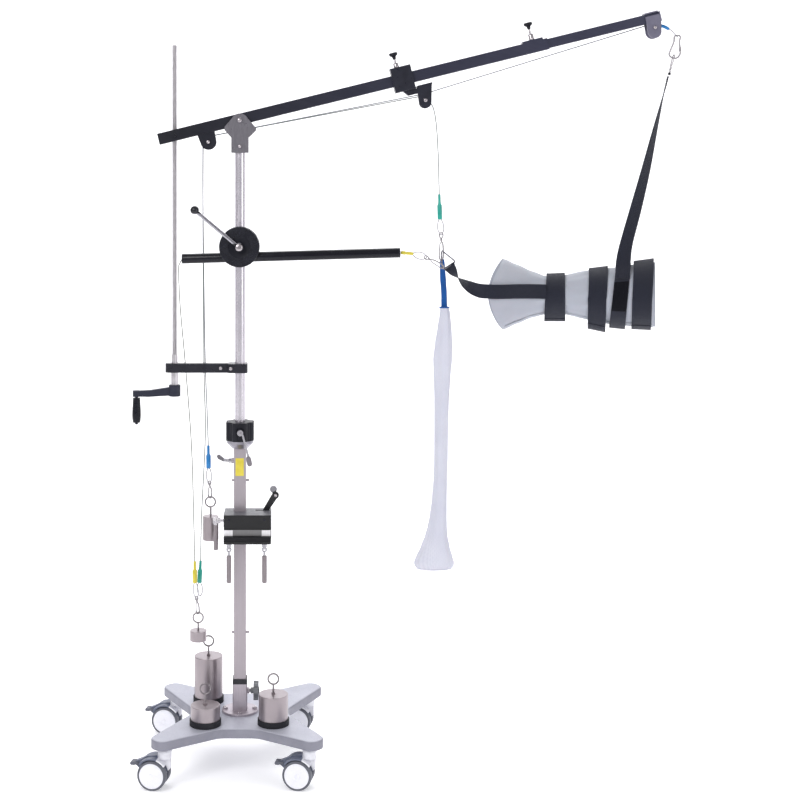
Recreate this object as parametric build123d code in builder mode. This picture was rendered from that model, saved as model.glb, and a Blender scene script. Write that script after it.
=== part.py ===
from build123d import *
import os
from math import sin, cos, tan, radians, sqrt

os.makedirs("parts", exist_ok=True)

# Mobile traction tower: castered X base, square lower pole, telescopic round mast,
# tilting boom with rope sheaves, cross tube, rail clamp, weights, forearm sleeve and hand net.
# Millimetres. +X runs along the boom to its high tip, -Y is the front, +Z is up. The origin is
# on the pole axis at the underside of the round pad. Heights are above the floor.

# ---------------------------------------------------------------- driving dimensions
GROUND = 100.0            # height of the origin above the floor
GAP = 0.05                # radial running clearance
CUT = Mode.SUBTRACT

PLATE_BOTTOM, PLATE_TOP = 104.0, 128.0
BOLT_PITCH_R, BOLT_R = 39.0, 4.0      # bolts of the pole socket
CASTER_X, CASTER_Y = 183.0, 190.0
CASTER_STEM_R = 6.0
PARKED_WEIGHT_R = 38.0

POLE_W, POLE_WALL, POLE_CORNER_R = 32.0, 1.5, 2
POLE_BOTTOM, POLE_TOP = 134.0, 826.0
MAST_R, MAST_WALL = 13.75, 1.5
MAST_BOTTOM, MAST_TOP = 400.0, 1651.0
LEVER_PIN_R = 3

PIVOT_H = 1697.0          # boom pivot
PIVOT_PIN_R = 5
BOOM_ANGLE = radians(13.8)
BOOM_W, BOOM_WALL = 30.0, 2.0
BOOM_START, BOOM_END = -222.0, 840.0  # along the boom, from the pivot
EXT_W, EXT_WALL = 25.0, 2.0
EXT_START, EXT_END = 540.0, 1143.0
AXLE_R = 3                # sheave axles
PLUNGER_R = 3
LINE_R = 1.0              # rope radius

# tilt screw and its crank
SCREW_X, SCREW_R = -173.6, 6.0
SCREW_BOTTOM, SCREW_TOP = 962, 1894.0

BOOM_COS, BOOM_SIN = cos(BOOM_ANGLE), sin(BOOM_ANGLE)
PIVOT_Z = PIVOT_H - GROUND


# ---------------------------------------------------------------- planes
def level(height, x=0.0, y=0.0):
    """Horizontal plane; extrusions go up."""
    return Plane(origin=(x, y, height - GROUND), x_dir=(1, 0, 0), z_dir=(0, 0, 1))


def facing(y, x=0.0, height=0.0):
    """Upright plane at y; local x = +X, local y = +Z, extrusions go towards -Y."""
    return Plane(origin=(x, y, height - GROUND), x_dir=(1, 0, 0), z_dir=(0, -1, 0))


def sideways(x, y=0.0, height=0.0):
    """Upright plane at x; local x = +Y, local y = +Z, extrusions go towards +X."""
    return Plane(origin=(x, y, height - GROUND), x_dir=(0, 1, 0), z_dir=(1, 0, 0))


def boom_point(along, above):
    """Point in the boom's middle plane, from the pivot along and above the centre line."""
    return (along * BOOM_COS - above * BOOM_SIN, 0.0,
            PIVOT_Z + along * BOOM_SIN + above * BOOM_COS)


def to_boom(x, height):
    """World x and height to (along, above)."""
    z = height - PIVOT_H
    return (x * BOOM_COS + z * BOOM_SIN, -x * BOOM_SIN + z * BOOM_COS)


def boom_side(y):
    """Plane of the boom's side; local x along the boom, extrusions go towards -Y."""
    return Plane(origin=(0, y, PIVOT_Z), x_dir=(BOOM_COS, 0, BOOM_SIN), z_dir=(0, -1, 0))


def boom_cut(along):
    """Plane across the boom; local x = +Y, local y = the boom's upward normal."""
    return Plane(origin=boom_point(along, 0), x_dir=(0, 1, 0), z_dir=(BOOM_COS, 0, BOOM_SIN))


def boom_deck(along, above):
    """Plane parallel to the boom's top face; extrusions go along its upward normal."""
    return Plane(origin=boom_point(along, above), x_dir=(BOOM_COS, 0, BOOM_SIN),
                 z_dir=(-BOOM_SIN, 0, BOOM_COS))


# ---------------------------------------------------------------- shapes
# A sketch made in a function does not join the caller's part, so it is extruded explicitly.
def disc(plane, radius, length, at=((0, 0),), mode=Mode.ADD):
    """Add a cylinder on the plane at each local point."""
    with BuildSketch(plane) as face:
        with Locations(*at):
            Circle(radius)
    extrude(face.sketch, amount=length, dir=plane.z_dir, mode=mode)


def bore(plane, radius, length, at=((0, 0),)):
    """Cut a cylinder on the plane at each local point."""
    disc(plane, radius, length, at, CUT)


def slab(plane, points, length, mode=Mode.ADD):
    """Extrude the closed outline through the points."""
    with BuildSketch(plane) as face:
        with BuildLine():
            Polyline(*points, close=True)
        make_face()
    extrude(face.sketch, amount=length, dir=plane.z_dir, mode=mode)


def ring(x, y, height, ring_radius, wire_radius):
    """Add an upright ring whose axis runs along Y."""
    with Locations(Location((x, y, height - GROUND), (90, 0, 0))):
        Torus(ring_radius, wire_radius)


def save(builder, label):
    builder.part.label = label
    export_step(builder.part, "parts/" + label + ".step")


# ---------------------------------------------------------------- base
CASTERS = {"front_left": (-CASTER_X, -CASTER_Y), "front_right": (CASTER_X, -CASTER_Y),
           "rear_left": (-CASTER_X, CASTER_Y), "rear_right": (CASTER_X, CASTER_Y)}
BOLTS = ((BOLT_PITCH_R, 0), (0, BOLT_PITCH_R), (-BOLT_PITCH_R, 0), (0, -BOLT_PITCH_R))
# x, y round the X-shaped plate
PLATE_OUTLINE = (
    (48, 134), (191.3, 226.9), (224.1, 194.1), (128, 18),
    (128, -18), (224.1, -194.1), (191.3, -226.9), (48, -134),
    (-48, -134), (-191.3, -226.9), (-224.1, -194.1), (-128, -18),
    (-128, 18), (-224.1, 194.1), (-191.3, 226.9), (-48, 134))

with BuildPart() as base_plate:
    with BuildSketch(level(PLATE_BOTTOM)):
        with BuildLine():
            Polyline(*PLATE_OUTLINE, close=True)
        make_face()
        # tips of the arms, then the crotches between them
        fillet([v for v in vertices() if abs(v.X) > 150], 27)
        fillet([v for v in vertices() if abs(v.X) < 49.5 or (abs(v.Y) < 20)], 55)
    extrude(amount=PLATE_TOP - PLATE_BOTTOM)
    fillet(base_plate.edges().group_by(Axis.Z)[-1], 5)
    fillet(base_plate.edges().group_by(Axis.Z)[0], 2)
    disc(level(GROUND), 52, PLATE_BOTTOM - GROUND)
    bore(level(PLATE_BOTTOM), CASTER_STEM_R + GAP, 18, at=CASTERS.values())
    bore(level(112), BOLT_R + GAP, 30, at=BOLTS)
save(base_plate, "base_plate")

# ---------------------------------------------------------------- parked weights
CUP_FLOOR = PLATE_TOP + 5
PARKED_RING_R = 13.5
# x, y, height of the top face, height of the ring's top
PARKED = {"weight_small": (-86.0, -98.0, 179.0, 220.0),
          "weight_medium": (90.0, -94.0, 206.0, 244.0),
          "weight_large": (-88.0, 75.0, 251.0, 290.0)}
CUP_SPOTS = [(x, y) for x, y, _, _ in PARKED.values()]

with BuildPart() as weight_cups:
    disc(level(PLATE_TOP), 41, 15, at=CUP_SPOTS)
    bore(level(CUP_FLOOR), PARKED_WEIGHT_R + 0.4, 12, at=CUP_SPOTS)
    chamfer(weight_cups.edges().group_by(Axis.Z)[-1], 0.8)
save(weight_cups, "weight_cups")


def parked_weight(label, x, y, top, ring_top):
    """Cylinder standing in its cup, with collar, stem and ring."""
    bottom = CUP_FLOOR + 0.05
    with BuildPart() as weight:
        disc(level(bottom, x, y), PARKED_WEIGHT_R, top - bottom)
        fillet(weight.edges().filter_by(GeomType.CIRCLE), 1.6)
        disc(level(top - 1, x, y), 5, 5)
        disc(level(top + 3, x, y), 2.4, ring_top - PARKED_RING_R - top - 3 + 1.5)
        ring(x, y, ring_top, PARKED_RING_R, 2.2)
    save(weight, label)


for label, place in PARKED.items():
    parked_weight(label, *place)

# ---------------------------------------------------------------- pole and socket
FLANGE_TOP = PLATE_TOP + 6
SOCKET_KNOB_H = 182
SIDE_LEVER_H = 792
STUD_HEIGHTS = (337, 740)
SEAT_H, SEAT_R = 840, 35              # conical seat under the collet nut
NECK_H, NECK_R = 846.5, 20
BUSH_R = 18

with BuildPart() as pole_socket:
    disc(level(PLATE_TOP), 48, 6)
    fillet(pole_socket.edges().group_by(Axis.Z)[-1], 1.5)
    with BuildSketch(level(FLANGE_TOP)):
        RectangleRounded(38, 38, 3)
    extrude(amount=83)
    with BuildSketch(level(FLANGE_TOP)):
        RectangleRounded(POLE_W + 0.1, POLE_W + 0.1, POLE_CORNER_R)
    extrude(amount=90, mode=CUT)
    # boss and hole of the knob
    disc(sideways(19, 0, SOCKET_KNOB_H), 8, 6)
    bore(sideways(10, 0, SOCKET_KNOB_H), 4 + GAP, 16)
    # bolts: clearance, heads, shanks
    bore(level(PLATE_TOP), BOLT_R + 0.3, 7, at=BOLTS)
    disc(level(FLANGE_TOP), 6.5, 4, at=BOLTS)
    disc(level(113), BOLT_R, 22, at=BOLTS)
save(pole_socket, "pole_socket")

with BuildPart() as lower_pole:
    with BuildSketch(level(POLE_BOTTOM + 0.05)):
        RectangleRounded(POLE_W, POLE_W, POLE_CORNER_R)
    extrude(amount=POLE_TOP - POLE_BOTTOM - 0.05)
    with BuildSketch(level(POLE_TOP)):
        Circle(22)
    with BuildSketch(level(SEAT_H)):
        Circle(SEAT_R)
    loft()
    disc(level(SEAT_H), SEAT_R, NECK_H - SEAT_H)
    disc(level(NECK_H), NECK_R, 36)
    # hollow of the pole, way of the mast, seat of the bush
    with BuildSketch(level(POLE_BOTTOM + 0.05)):
        RectangleRounded(POLE_W - 2 * POLE_WALL, POLE_W - 2 * POLE_WALL, 0.8)
    extrude(amount=POLE_TOP - POLE_BOTTOM - 1, mode=CUT)
    bore(level(POLE_TOP - 2), 14.3, 6)
    bore(level(POLE_TOP + 4), BUSH_R, 60)
    # stop studs
    for height in STUD_HEIGHTS:
        disc(sideways(15.5, 0, height), 3, 9)
        disc(sideways(-15.5, 0, height), 3, -7)
    # boss and hole of the side lever, hole of the socket knob
    disc(sideways(-15.5, 0, SIDE_LEVER_H), 7, -7)
    bore(sideways(-30, 0, SIDE_LEVER_H), LEVER_PIN_R + GAP, 17)
    bore(sideways(5, 0, SOCKET_KNOB_H), 4.4, 14)
save(lower_pole, "lower_pole")

# star knob that locks the pole in the socket
with BuildPart() as socket_knob:
    disc(sideways(16.2, 0, SOCKET_KNOB_H), 4, 20)
    disc(sideways(28, 0, SOCKET_KNOB_H), 8, 8)
    with BuildSketch(sideways(36, 0, SOCKET_KNOB_H)):
        Circle(19)
        with PolarLocations(19, 6):
            Circle(6)
    extrude(amount=13)
    fillet(socket_knob.edges().group_by(Axis.X)[-1], 2)
save(socket_knob, "socket_knob")

# ---------------------------------------------------------------- casters
CASTER_HEADING = radians(-12.0)
HEADING_SIN, HEADING_COS = sin(CASTER_HEADING), cos(CASTER_HEADING)
WHEEL_R, WHEEL_W = 37.5, 19.0
WHEEL_INNER = 8.0                     # inner face of a wheel, from the caster's middle
WHEEL_OUTER = WHEEL_INNER + WHEEL_W
WHEEL_AXLE_R = 4
TRAIL = 28.0
WHEEL_CENTRE = (-TRAIL, WHEEL_R)
FENDER_OUTER_R, FENDER_INNER_R = 43.5, 40.0
FENDER_START, FENDER_SWEEP = 38, 102  # degrees
BRAKE_PIN, BRAKE_PIN_R = (-69, 61), 2
# local x against the trail, height
WEB_OUTLINE = (
    (15, 84), (15, 52), (2, 40), (-22, 24), (-34, 24), (-50, 36),
    (-74, 56), (-74, 66), (-60, 72), (-46, 80), (-20, 84))
BRAKE_CHEEK = ((-66.5, 58), (-66.5, 64.5), (-77, 64.5), (-77, 57))


def caster(tag, caster_x, caster_y):
    """Hood, twin wheels and brake pedal of one caster."""

    def side(offset):
        """Upright plane; local x against the trail, local y = height, extrusions lessen offset."""
        return Plane(origin=(caster_x - offset * HEADING_SIN, caster_y + offset * HEADING_COS,
                             -GROUND),
                     x_dir=(HEADING_COS, HEADING_SIN, 0), z_dir=(HEADING_SIN, -HEADING_COS, 0))

    def flat(height):
        return Plane(origin=(caster_x, caster_y, height - GROUND),
                     x_dir=(HEADING_COS, HEADING_SIN, 0), z_dir=(0, 0, 1))

    # housing, stem, web between the wheels and fender
    with BuildPart() as hood:
        disc(flat(78), 17, 25)
        disc(flat(102), CASTER_STEM_R, 18)
        slab(side(7), WEB_OUTLINE, 14)
        with BuildSketch(side(26)):
            with BuildLine():
                for radius in (FENDER_OUTER_R, FENDER_INNER_R):
                    CenterArc(WHEEL_CENTRE, radius, FENDER_START, FENDER_SWEEP)
                for angle in (radians(FENDER_START), radians(FENDER_START + FENDER_SWEEP)):
                    Line((-TRAIL + FENDER_OUTER_R * cos(angle),
                          WHEEL_R + FENDER_OUTER_R * sin(angle)),
                         (-TRAIL + FENDER_INNER_R * cos(angle),
                          WHEEL_R + FENDER_INNER_R * sin(angle)))
            make_face()
        extrude(amount=52)
        with BuildSketch(side(20)):
            with Locations(WHEEL_CENTRE):
                Circle(WHEEL_AXLE_R + GAP)
            with Locations(BRAKE_PIN):
                Circle(BRAKE_PIN_R + GAP)
        extrude(amount=40, mode=CUT)
    save(hood, "caster_hood_" + tag)

    # twin wheels on one axle, with a ring groove in each outer face
    with BuildPart() as wheels:
        disc(side(24), WHEEL_AXLE_R, 48, at=[WHEEL_CENTRE])
        for offset in (WHEEL_OUTER, -WHEEL_INNER):
            disc(side(offset), WHEEL_R, WHEEL_W, at=[WHEEL_CENTRE])
        fillet([e for e in wheels.edges().filter_by(GeomType.CIRCLE)
                if abs(e.radius - WHEEL_R) < 0.01], 3.5)
        for offset, depth in ((WHEEL_OUTER - 1.2, -1.4), (-WHEEL_OUTER + 1.2, 1.4)):
            with BuildSketch(side(offset)):
                with Locations(WHEEL_CENTRE):
                    Circle(33.0)
                    Circle(31.6, mode=CUT)
            extrude(amount=depth, mode=CUT)
    save(wheels, "caster_wheels_" + tag)

    # brake pedal with its cheeks and pin
    with BuildPart() as brake:
        disc(side(10.5), BRAKE_PIN_R, 21, at=[BRAKE_PIN])
        for offset in (10.5, -7.3):
            slab(side(offset), BRAKE_CHEEK, 3.2)
        with BuildSketch(side(10.5)):
            with Locations((-82, 60)):
                RectangleRounded(13, 8, 3)
        extrude(amount=21)
    save(brake, "caster_brake_" + tag)


for tag, place in CASTERS.items():
    caster(tag, *place)

# ---------------------------------------------------------------- rail clamp
BLOCK_LEFT, BLOCK_RIGHT = -41.0, 83.0
BLOCK_FRONT, BLOCK_BACK = -61.0, 26.0
BLOCK_BOTTOM, BLOCK_TOP = 584.0, 660.0
BLOCK_W = BLOCK_RIGHT - BLOCK_LEFT
BLOCK_MID_X = (BLOCK_LEFT + BLOCK_RIGHT) / 2
CHANNEL_BOTTOM, CHANNEL_TOP, CHANNEL_BACK = 590, 629, -47
CLAMP_SCREW_R = 4
JAW_SCREWS_Y = -55.0
JAW_SCREWS = {"jaw_screw_left": (-27.0, JAW_SCREWS_Y), "jaw_screw_right": (66.0, JAW_SCREWS_Y)}
SIDE_SCREW_Y, SIDE_SCREW_H = -40, 642
RELEASE_PIN = (56, 646)               # x, height
RELEASE_TOP = (94, 700)

with BuildPart() as rail_clamp_body:
    with BuildSketch(level(BLOCK_BOTTOM, BLOCK_MID_X, (BLOCK_FRONT + BLOCK_BACK) / 2)):
        Rectangle(BLOCK_W, BLOCK_BACK - BLOCK_FRONT)
    extrude(amount=BLOCK_TOP - BLOCK_BOTTOM)
    chamfer(rail_clamp_body.edges().filter_by(Axis.Z), 1.5)
    chamfer(rail_clamp_body.edges().group_by(Axis.Z)[-1], 1)
    # square way for the pole
    with BuildSketch(level(BLOCK_BOTTOM - 1)):
        RectangleRounded(POLE_W + 0.1, POLE_W + 0.1, POLE_CORNER_R)
    extrude(amount=BLOCK_TOP - BLOCK_BOTTOM + 2, mode=CUT)
    # rail channel, open to the front
    slab(sideways(BLOCK_LEFT - 1),
         ((BLOCK_FRONT - 1, CHANNEL_BOTTOM), (CHANNEL_BACK, CHANNEL_BOTTOM),
          (CHANNEL_BACK, CHANNEL_TOP), (BLOCK_FRONT - 1, CHANNEL_TOP)),
         BLOCK_W + 2, CUT)
    # holes of the two jaw screws and the side screw
    bore(level(BLOCK_BOTTOM - 1), CLAMP_SCREW_R + GAP, 8, at=JAW_SCREWS.values())
    bore(sideways(BLOCK_LEFT - 1, SIDE_SCREW_Y, SIDE_SCREW_H), CLAMP_SCREW_R + GAP, 22)
    # slot and pin of the release lever
    with BuildSketch(level(BLOCK_TOP + 1, 60.5, 0)):
        Rectangle(39, 8.6)
    extrude(amount=-27, mode=CUT)
    disc(facing(12, *RELEASE_PIN), LEVER_PIN_R, 24)
    # pads at both ends of the channel
    with BuildSketch(facing(-46.9)):
        with Locations((-29, 611), (70, 611)):
            Rectangle(23, 15)
    extrude(amount=2.2)
save(rail_clamp_body, "rail_clamp_body")

with BuildPart() as clamp_jaw:
    with BuildSketch(level(CHANNEL_BOTTOM + 0.1, BLOCK_MID_X, -55.1)):
        Rectangle(BLOCK_W - 0.2, 11.4)
    extrude(amount=12.9)
    fillet(clamp_jaw.edges().filter_by(Axis.X).group_by(Axis.Y)[0], 1.5)
    bore(level(CHANNEL_BOTTOM), CLAMP_SCREW_R + GAP, 11.1, at=JAW_SCREWS.values())
save(clamp_jaw, "clamp_jaw")


def jaw_screw(label, x, y):
    """Upright screw with collar and ring, and a grip hanging below on a thin stem."""
    grip_bottom, grip_length, grip_radius = 482, 72, 6.5
    bottom_z = grip_bottom - GROUND
    top_z = bottom_z + grip_length
    with BuildPart() as screw:
        disc(level(570, x, y), CLAMP_SCREW_R, 30.9)
        disc(level(576, x, y), 6.5, 7.9)
        ring(x, y, 569, 5, 2.2)
        disc(level(550, x, y), 3, 14.5)
        disc(level(grip_bottom, x, y), grip_radius, grip_length)
        fillet([e for e in screw.edges().filter_by(GeomType.CIRCLE)
                if abs(e.center().Z - bottom_z) < 0.1
                or (abs(e.center().Z - top_z) < 0.1 and e.radius > 6)], 3)
    save(screw, label)


for label, place in JAW_SCREWS.items():
    jaw_screw(label, *place)

# screw in the clamp's left side with its hanging bar
with BuildPart() as side_screw:
    disc(sideways(-70, SIDE_SCREW_Y, SIDE_SCREW_H), CLAMP_SCREW_R, 48)
    with BuildSketch(sideways(-70, SIDE_SCREW_Y, SIDE_SCREW_H)):
        RegularPolygon(8, 6)
    extrude(amount=20)
    disc(level(564, -62, SIDE_SCREW_Y), 6, 76)
    fillet(side_screw.edges().group_by(Axis.Z)[0], 3)
save(side_screw, "side_screw")

with BuildPart() as release_lever:
    with BuildSketch(facing(4)):
        with BuildLine():
            Polyline((48.6, 640.9), (54, 638), (63.4, 641.1), (101.4, 697.1), (86.6, 705.9),
                     close=True)
        make_face()
        with Locations(RELEASE_PIN):
            Circle(9)
        with Locations(RELEASE_TOP):
            Circle(9)
        with Locations(RELEASE_PIN):
            Circle(LEVER_PIN_R + GAP, mode=CUT)
    extrude(amount=8)
    with Locations((88.5, 0, 715.5 - GROUND)):
        Sphere(9.5)
    disc(facing(6, *RELEASE_TOP), 4, 12)
save(release_lever, "release_lever")

# ---------------------------------------------------------------- collet and mast
COLLET_LEVER = (2, 872)               # x, height of the front lever's pin

with BuildPart() as mast_bush:
    with BuildSketch(level(POLE_TOP + 4.05)):
        Circle(BUSH_R - GAP)
        Circle(MAST_R + GAP, mode=CUT)
    extrude(amount=53)
save(mast_bush, "mast_bush")

with BuildPart() as collet_nut:
    with BuildSketch(level(847)):
        Circle(34)
        with PolarLocations(30.5, 8, start_angle=22.5):
            Circle(8.5)
    extrude(amount=49)
    fillet(collet_nut.edges().group_by(Axis.Z)[-1], 2)
    bore(level(846), NECK_R + GAP, 40)
    bore(level(880), 14.2, 20)
    # flat boss and pin for the front lever
    disc(facing(-30, *COLLET_LEVER), 9, 10)
    disc(facing(-38, *COLLET_LEVER), LEVER_PIN_R, 9)
save(collet_nut, "collet_nut")

with BuildPart() as collet_lever:
    with BuildSketch(facing(-40.3, *COLLET_LEVER)):
        Circle(8)
        Circle(LEVER_PIN_R + GAP, mode=CUT)
    extrude(amount=6)
    slab(facing(-41, *COLLET_LEVER), ((4.2, -6), (20, -66), (24.8, -64.7), (8.5, -3)), 5)
    with BuildSketch(facing(-39.5, *COLLET_LEVER)):
        with Locations(Location((23.4, -74), 14)):
            SlotOverall(26, 13, rotation=90)
    extrude(amount=8)
save(collet_lever, "collet_lever")

with BuildPart() as side_lever:
    disc(sideways(-40, 0, SIDE_LEVER_H), LEVER_PIN_R, 26)
    disc(sideways(-31, 0, SIDE_LEVER_H), 6, 8)
    slab(facing(3.2),
         ((-31, 788.5), (-31, 795.5), (-42, 797.5), (-56, 808), (-62, 804), (-58, 796),
          (-44, 789.5)), 6.4)
save(side_lever, "side_lever")

with BuildPart() as mast_tube:
    with BuildSketch(level(MAST_BOTTOM)):
        Circle(MAST_R)
        Circle(MAST_R - MAST_WALL, mode=CUT)
    extrude(amount=MAST_TOP - MAST_BOTTOM)
save(mast_tube, "mast_tube")

# arm that carries the crank end of the tilt screw
with BuildPart() as screw_bracket:
    with BuildSketch(level(1026)):
        with BuildLine():
            Polyline((-186, -12), (-34, -12), (-26, -20), (20, -20),
                     (20, 20), (-26, 20), (-34, 12), (-186, 12), close=True)
        make_face()
        with Locations((-186, 0)):
            Circle(12)
    extrude(amount=24)
    fillet([e for e in screw_bracket.edges().filter_by(Axis.Z) if e.center().X > 10], 6)
    with BuildSketch(level(1025)):
        Circle(MAST_R + GAP)
        with Locations((SCREW_X, 0)):
            Circle(SCREW_R + GAP)
    extrude(amount=26, mode=CUT)
    # bolt heads on the front face
    for x, y in ((-51.0, -11), (-24.0, -19)):
        disc(facing(y, x, 1038), 4.2, 3.2)
save(screw_bracket, "screw_bracket")

with BuildPart() as mast_yoke:
    with BuildSketch(facing(21.5)):
        with BuildLine():
            Polyline((-22.5, 1608), (22.5, 1608), (22.5, 1648), (42, 1668), (42, 1674), (22, 1698),
                     (-22, 1698), (-40, 1677), (-40, 1668), (-22.5, 1648), close=True)
        make_face()
        with Locations((0, 1689)):
            Circle(23)
    extrude(amount=43)
    # slot for the boom, socket for the mast
    with BuildSketch(level(1652)):
        Rectangle(120, 30.4)
    extrude(amount=80, mode=CUT)
    bore(level(1600), MAST_R + GAP, 51.1)
    # pivot pin of the boom, and two heads on the front cheek
    disc(facing(24, 0, PIVOT_H), PIVOT_PIN_R, 48)
    disc(facing(-21.4, 0, PIVOT_H - 3), 6.5, 4)
    disc(facing(-21.4, 0, 1625), 5, 3.5)
save(mast_yoke, "mast_yoke")

# ---------------------------------------------------------------- tilt screw and crank
CRANK_X = SCREW_X - 101               # axis of the crank's grip
GRIP_PIN_R = 4
GRIP_BOTTOM, GRIP_TOP = 893, 958
NUT_H = PIVOT_H + SCREW_X * tan(BOOM_ANGLE)

with BuildPart() as leadscrew:
    disc(level(SCREW_BOTTOM, SCREW_X), SCREW_R, SCREW_TOP - SCREW_BOTTOM)
    chamfer(leadscrew.edges().group_by(Axis.Z)[-1], 1)
    # collars above and below the bracket
    disc(level(1050.2, SCREW_X), 8, 23)
    disc(level(993.2, SCREW_X), 9.5, 32.6)
save(leadscrew, "leadscrew")

with BuildPart() as crank_arm:
    disc(level(963, SCREW_X), 15.5, 30)
    fillet(crank_arm.edges().group_by(Axis.Z)[-1], 1.5)
    slab(facing(7),
         ((-163, 966), (-163, 988), (-190, 986), (-240, 978.5), (-276, 977), (-276, 962),
          (-240, 961.5), (-200, 964)), 14)
    disc(level(961.5, CRANK_X), 10, 16)
    disc(level(888, CRANK_X), GRIP_PIN_R, 80)
    bore(level(960, SCREW_X), SCREW_R + GAP, 35)
save(crank_arm, "crank_arm")

with BuildPart() as crank_grip:
    with BuildSketch(facing(0, CRANK_X)):
        with BuildLine():
            Polyline((GRIP_PIN_R + GAP, GRIP_BOTTOM), (9.5, GRIP_BOTTOM))
            Spline((9.5, GRIP_BOTTOM), (11.2, 905), (11.0, 930), (9.6, GRIP_TOP))
            Polyline((9.6, GRIP_TOP), (GRIP_PIN_R + GAP, GRIP_TOP),
                     (GRIP_PIN_R + GAP, GRIP_BOTTOM))
        make_face()
    revolve(axis=Axis((CRANK_X, 0, 0), (0, 0, 1)), revolution_arc=360)
save(crank_grip, "crank_grip")

# trunnion nut on the screw, inside the hollow boom
with BuildPart() as lead_nut:
    disc(facing(12, SCREW_X, NUT_H), 8, 24)
    bore(level(NUT_H - 12, SCREW_X), SCREW_R + GAP, 24)
save(lead_nut, "lead_nut")


# ---------------------------------------------------------------- sheaves and plungers
def sheaves(label, centre, starts, width, rim_radius, groove_radius):
    """Grooved wheels on one axle at centre (along, above); each starts at a y in starts."""
    origin = boom_point(*centre)
    bore_radius = AXLE_R + GAP
    with BuildPart() as wheels:
        for y in starts:
            # local x is the radius, local y = +Y
            with BuildSketch(Plane(origin=origin, x_dir=(BOOM_COS, 0, BOOM_SIN),
                                   z_dir=(BOOM_SIN, 0, -BOOM_COS))):
                with BuildLine():
                    Polyline((bore_radius, y), (rim_radius, y), (rim_radius, y + width * 0.15),
                             (groove_radius, y + width * 0.34), (groove_radius, y + width * 0.66),
                             (rim_radius, y + width * 0.85), (rim_radius, y + width),
                             (bore_radius, y + width), close=True)
                make_face()
            revolve(axis=Axis(origin, (0, 1, 0)), revolution_arc=360)
    save(wheels, label)


def plunger(label, along, nose, pin_length, neck):
    """Pin, neck and flared knob square to the boom; nose and neck are heights above its axis."""
    with BuildPart() as pin:
        disc(boom_deck(along, nose), PLUNGER_R, pin_length)
        disc(boom_deck(along, neck), 4.2, 7)
        with BuildSketch(boom_deck(along, neck + 6)):
            Circle(4.5)
        with BuildSketch(boom_deck(along, neck + 12)):
            Circle(11)
        loft()
        disc(boom_deck(along, neck + 12), 11, 6)
    save(pin, label)


# ---------------------------------------------------------------- boom
REAR_SHEAVE = to_boom(-83.5, 1636.5)
REAR_U, REAR_V = REAR_SHEAVE
EXT_PLUNGER = to_boom(774.0, PIVOT_H + 774.0 * tan(BOOM_ANGLE) + 20.0)[0]

with BuildPart() as boom_tube:
    with BuildSketch(boom_cut(BOOM_START)):
        RectangleRounded(BOOM_W, BOOM_W, 2.5)
    extrude(amount=BOOM_END - BOOM_START)
    with BuildSketch(boom_cut(BOOM_START + 3)):
        Rectangle(BOOM_W - 2 * BOOM_WALL, BOOM_W - 2 * BOOM_WALL)
    extrude(amount=BOOM_END - BOOM_START, mode=CUT)
    bore(boom_side(30), PIVOT_PIN_R + GAP, 60)
    # slots for the tilt screw
    with BuildSketch(boom_deck(0, 8)):
        with Locations((-184, 0)):
            Rectangle(40, 13.4)
    extrude(amount=12, mode=CUT)
    with BuildSketch(boom_deck(0, -8)):
        with Locations((-188.5, 0)):
            Rectangle(50, 13.4)
    extrude(amount=-12, mode=CUT)
    # heads of the trunnion screws
    for y in (-14.9, 18.1):
        disc(boom_side(y), 5, 3.2, at=[(SCREW_X / BOOM_COS, 0)])
    # plate and barrel of the extension plunger
    with BuildSketch(boom_deck(EXT_PLUNGER, 14)):
        Rectangle(54, 29)
    extrude(amount=6)
    disc(boom_deck(EXT_PLUNGER, 19), 6.5, 17)
    bore(boom_deck(EXT_PLUNGER, 10), PLUNGER_R + GAP, 30)
    # sheave fork under the boom's low end, with axle and axle head
    for y in (13.2, -10.0):
        with BuildSketch(boom_side(y)):
            with Locations(REAR_SHEAVE):
                Circle(20.5)
            with BuildLine():
                Polyline((REAR_U - 20.5, REAR_V), (REAR_U + 20.5, REAR_V),
                         (REAR_U + 22, -14.5), (REAR_U - 24, -14.5), close=True)
            make_face()
        extrude(amount=3.2)
    disc(boom_side(16), AXLE_R, 32, at=[REAR_SHEAVE])
    disc(boom_side(-12.8), 5.2, 4, at=[REAR_SHEAVE])
save(boom_tube, "boom_tube")

sheaves("rear_sheaves", REAR_SHEAVE, starts=(-9.4, 0.4), width=9.0,
        rim_radius=17.5, groove_radius=13.5)

with BuildPart() as boom_extension:
    with BuildSketch(boom_cut(EXT_START)):
        RectangleRounded(EXT_W, EXT_W, 2)
    extrude(amount=EXT_END - EXT_START)
    # hollow, closed at the tip
    with BuildSketch(boom_cut(EXT_START - 1)):
        Rectangle(EXT_W - 2 * EXT_WALL, EXT_W - 2 * EXT_WALL)
    extrude(amount=EXT_END - EXT_START - 2, mode=CUT)
    # index holes for the plunger
    bore(boom_deck(0, 5), 3.4, 12, at=[(801.5 - 50 * k, 0) for k in range(-3, 6)])
save(boom_extension, "boom_extension")

END_SHEAVE = (1097, 1939)             # x, height
CAP_START = to_boom(1072, 1966.5)[0]

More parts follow.
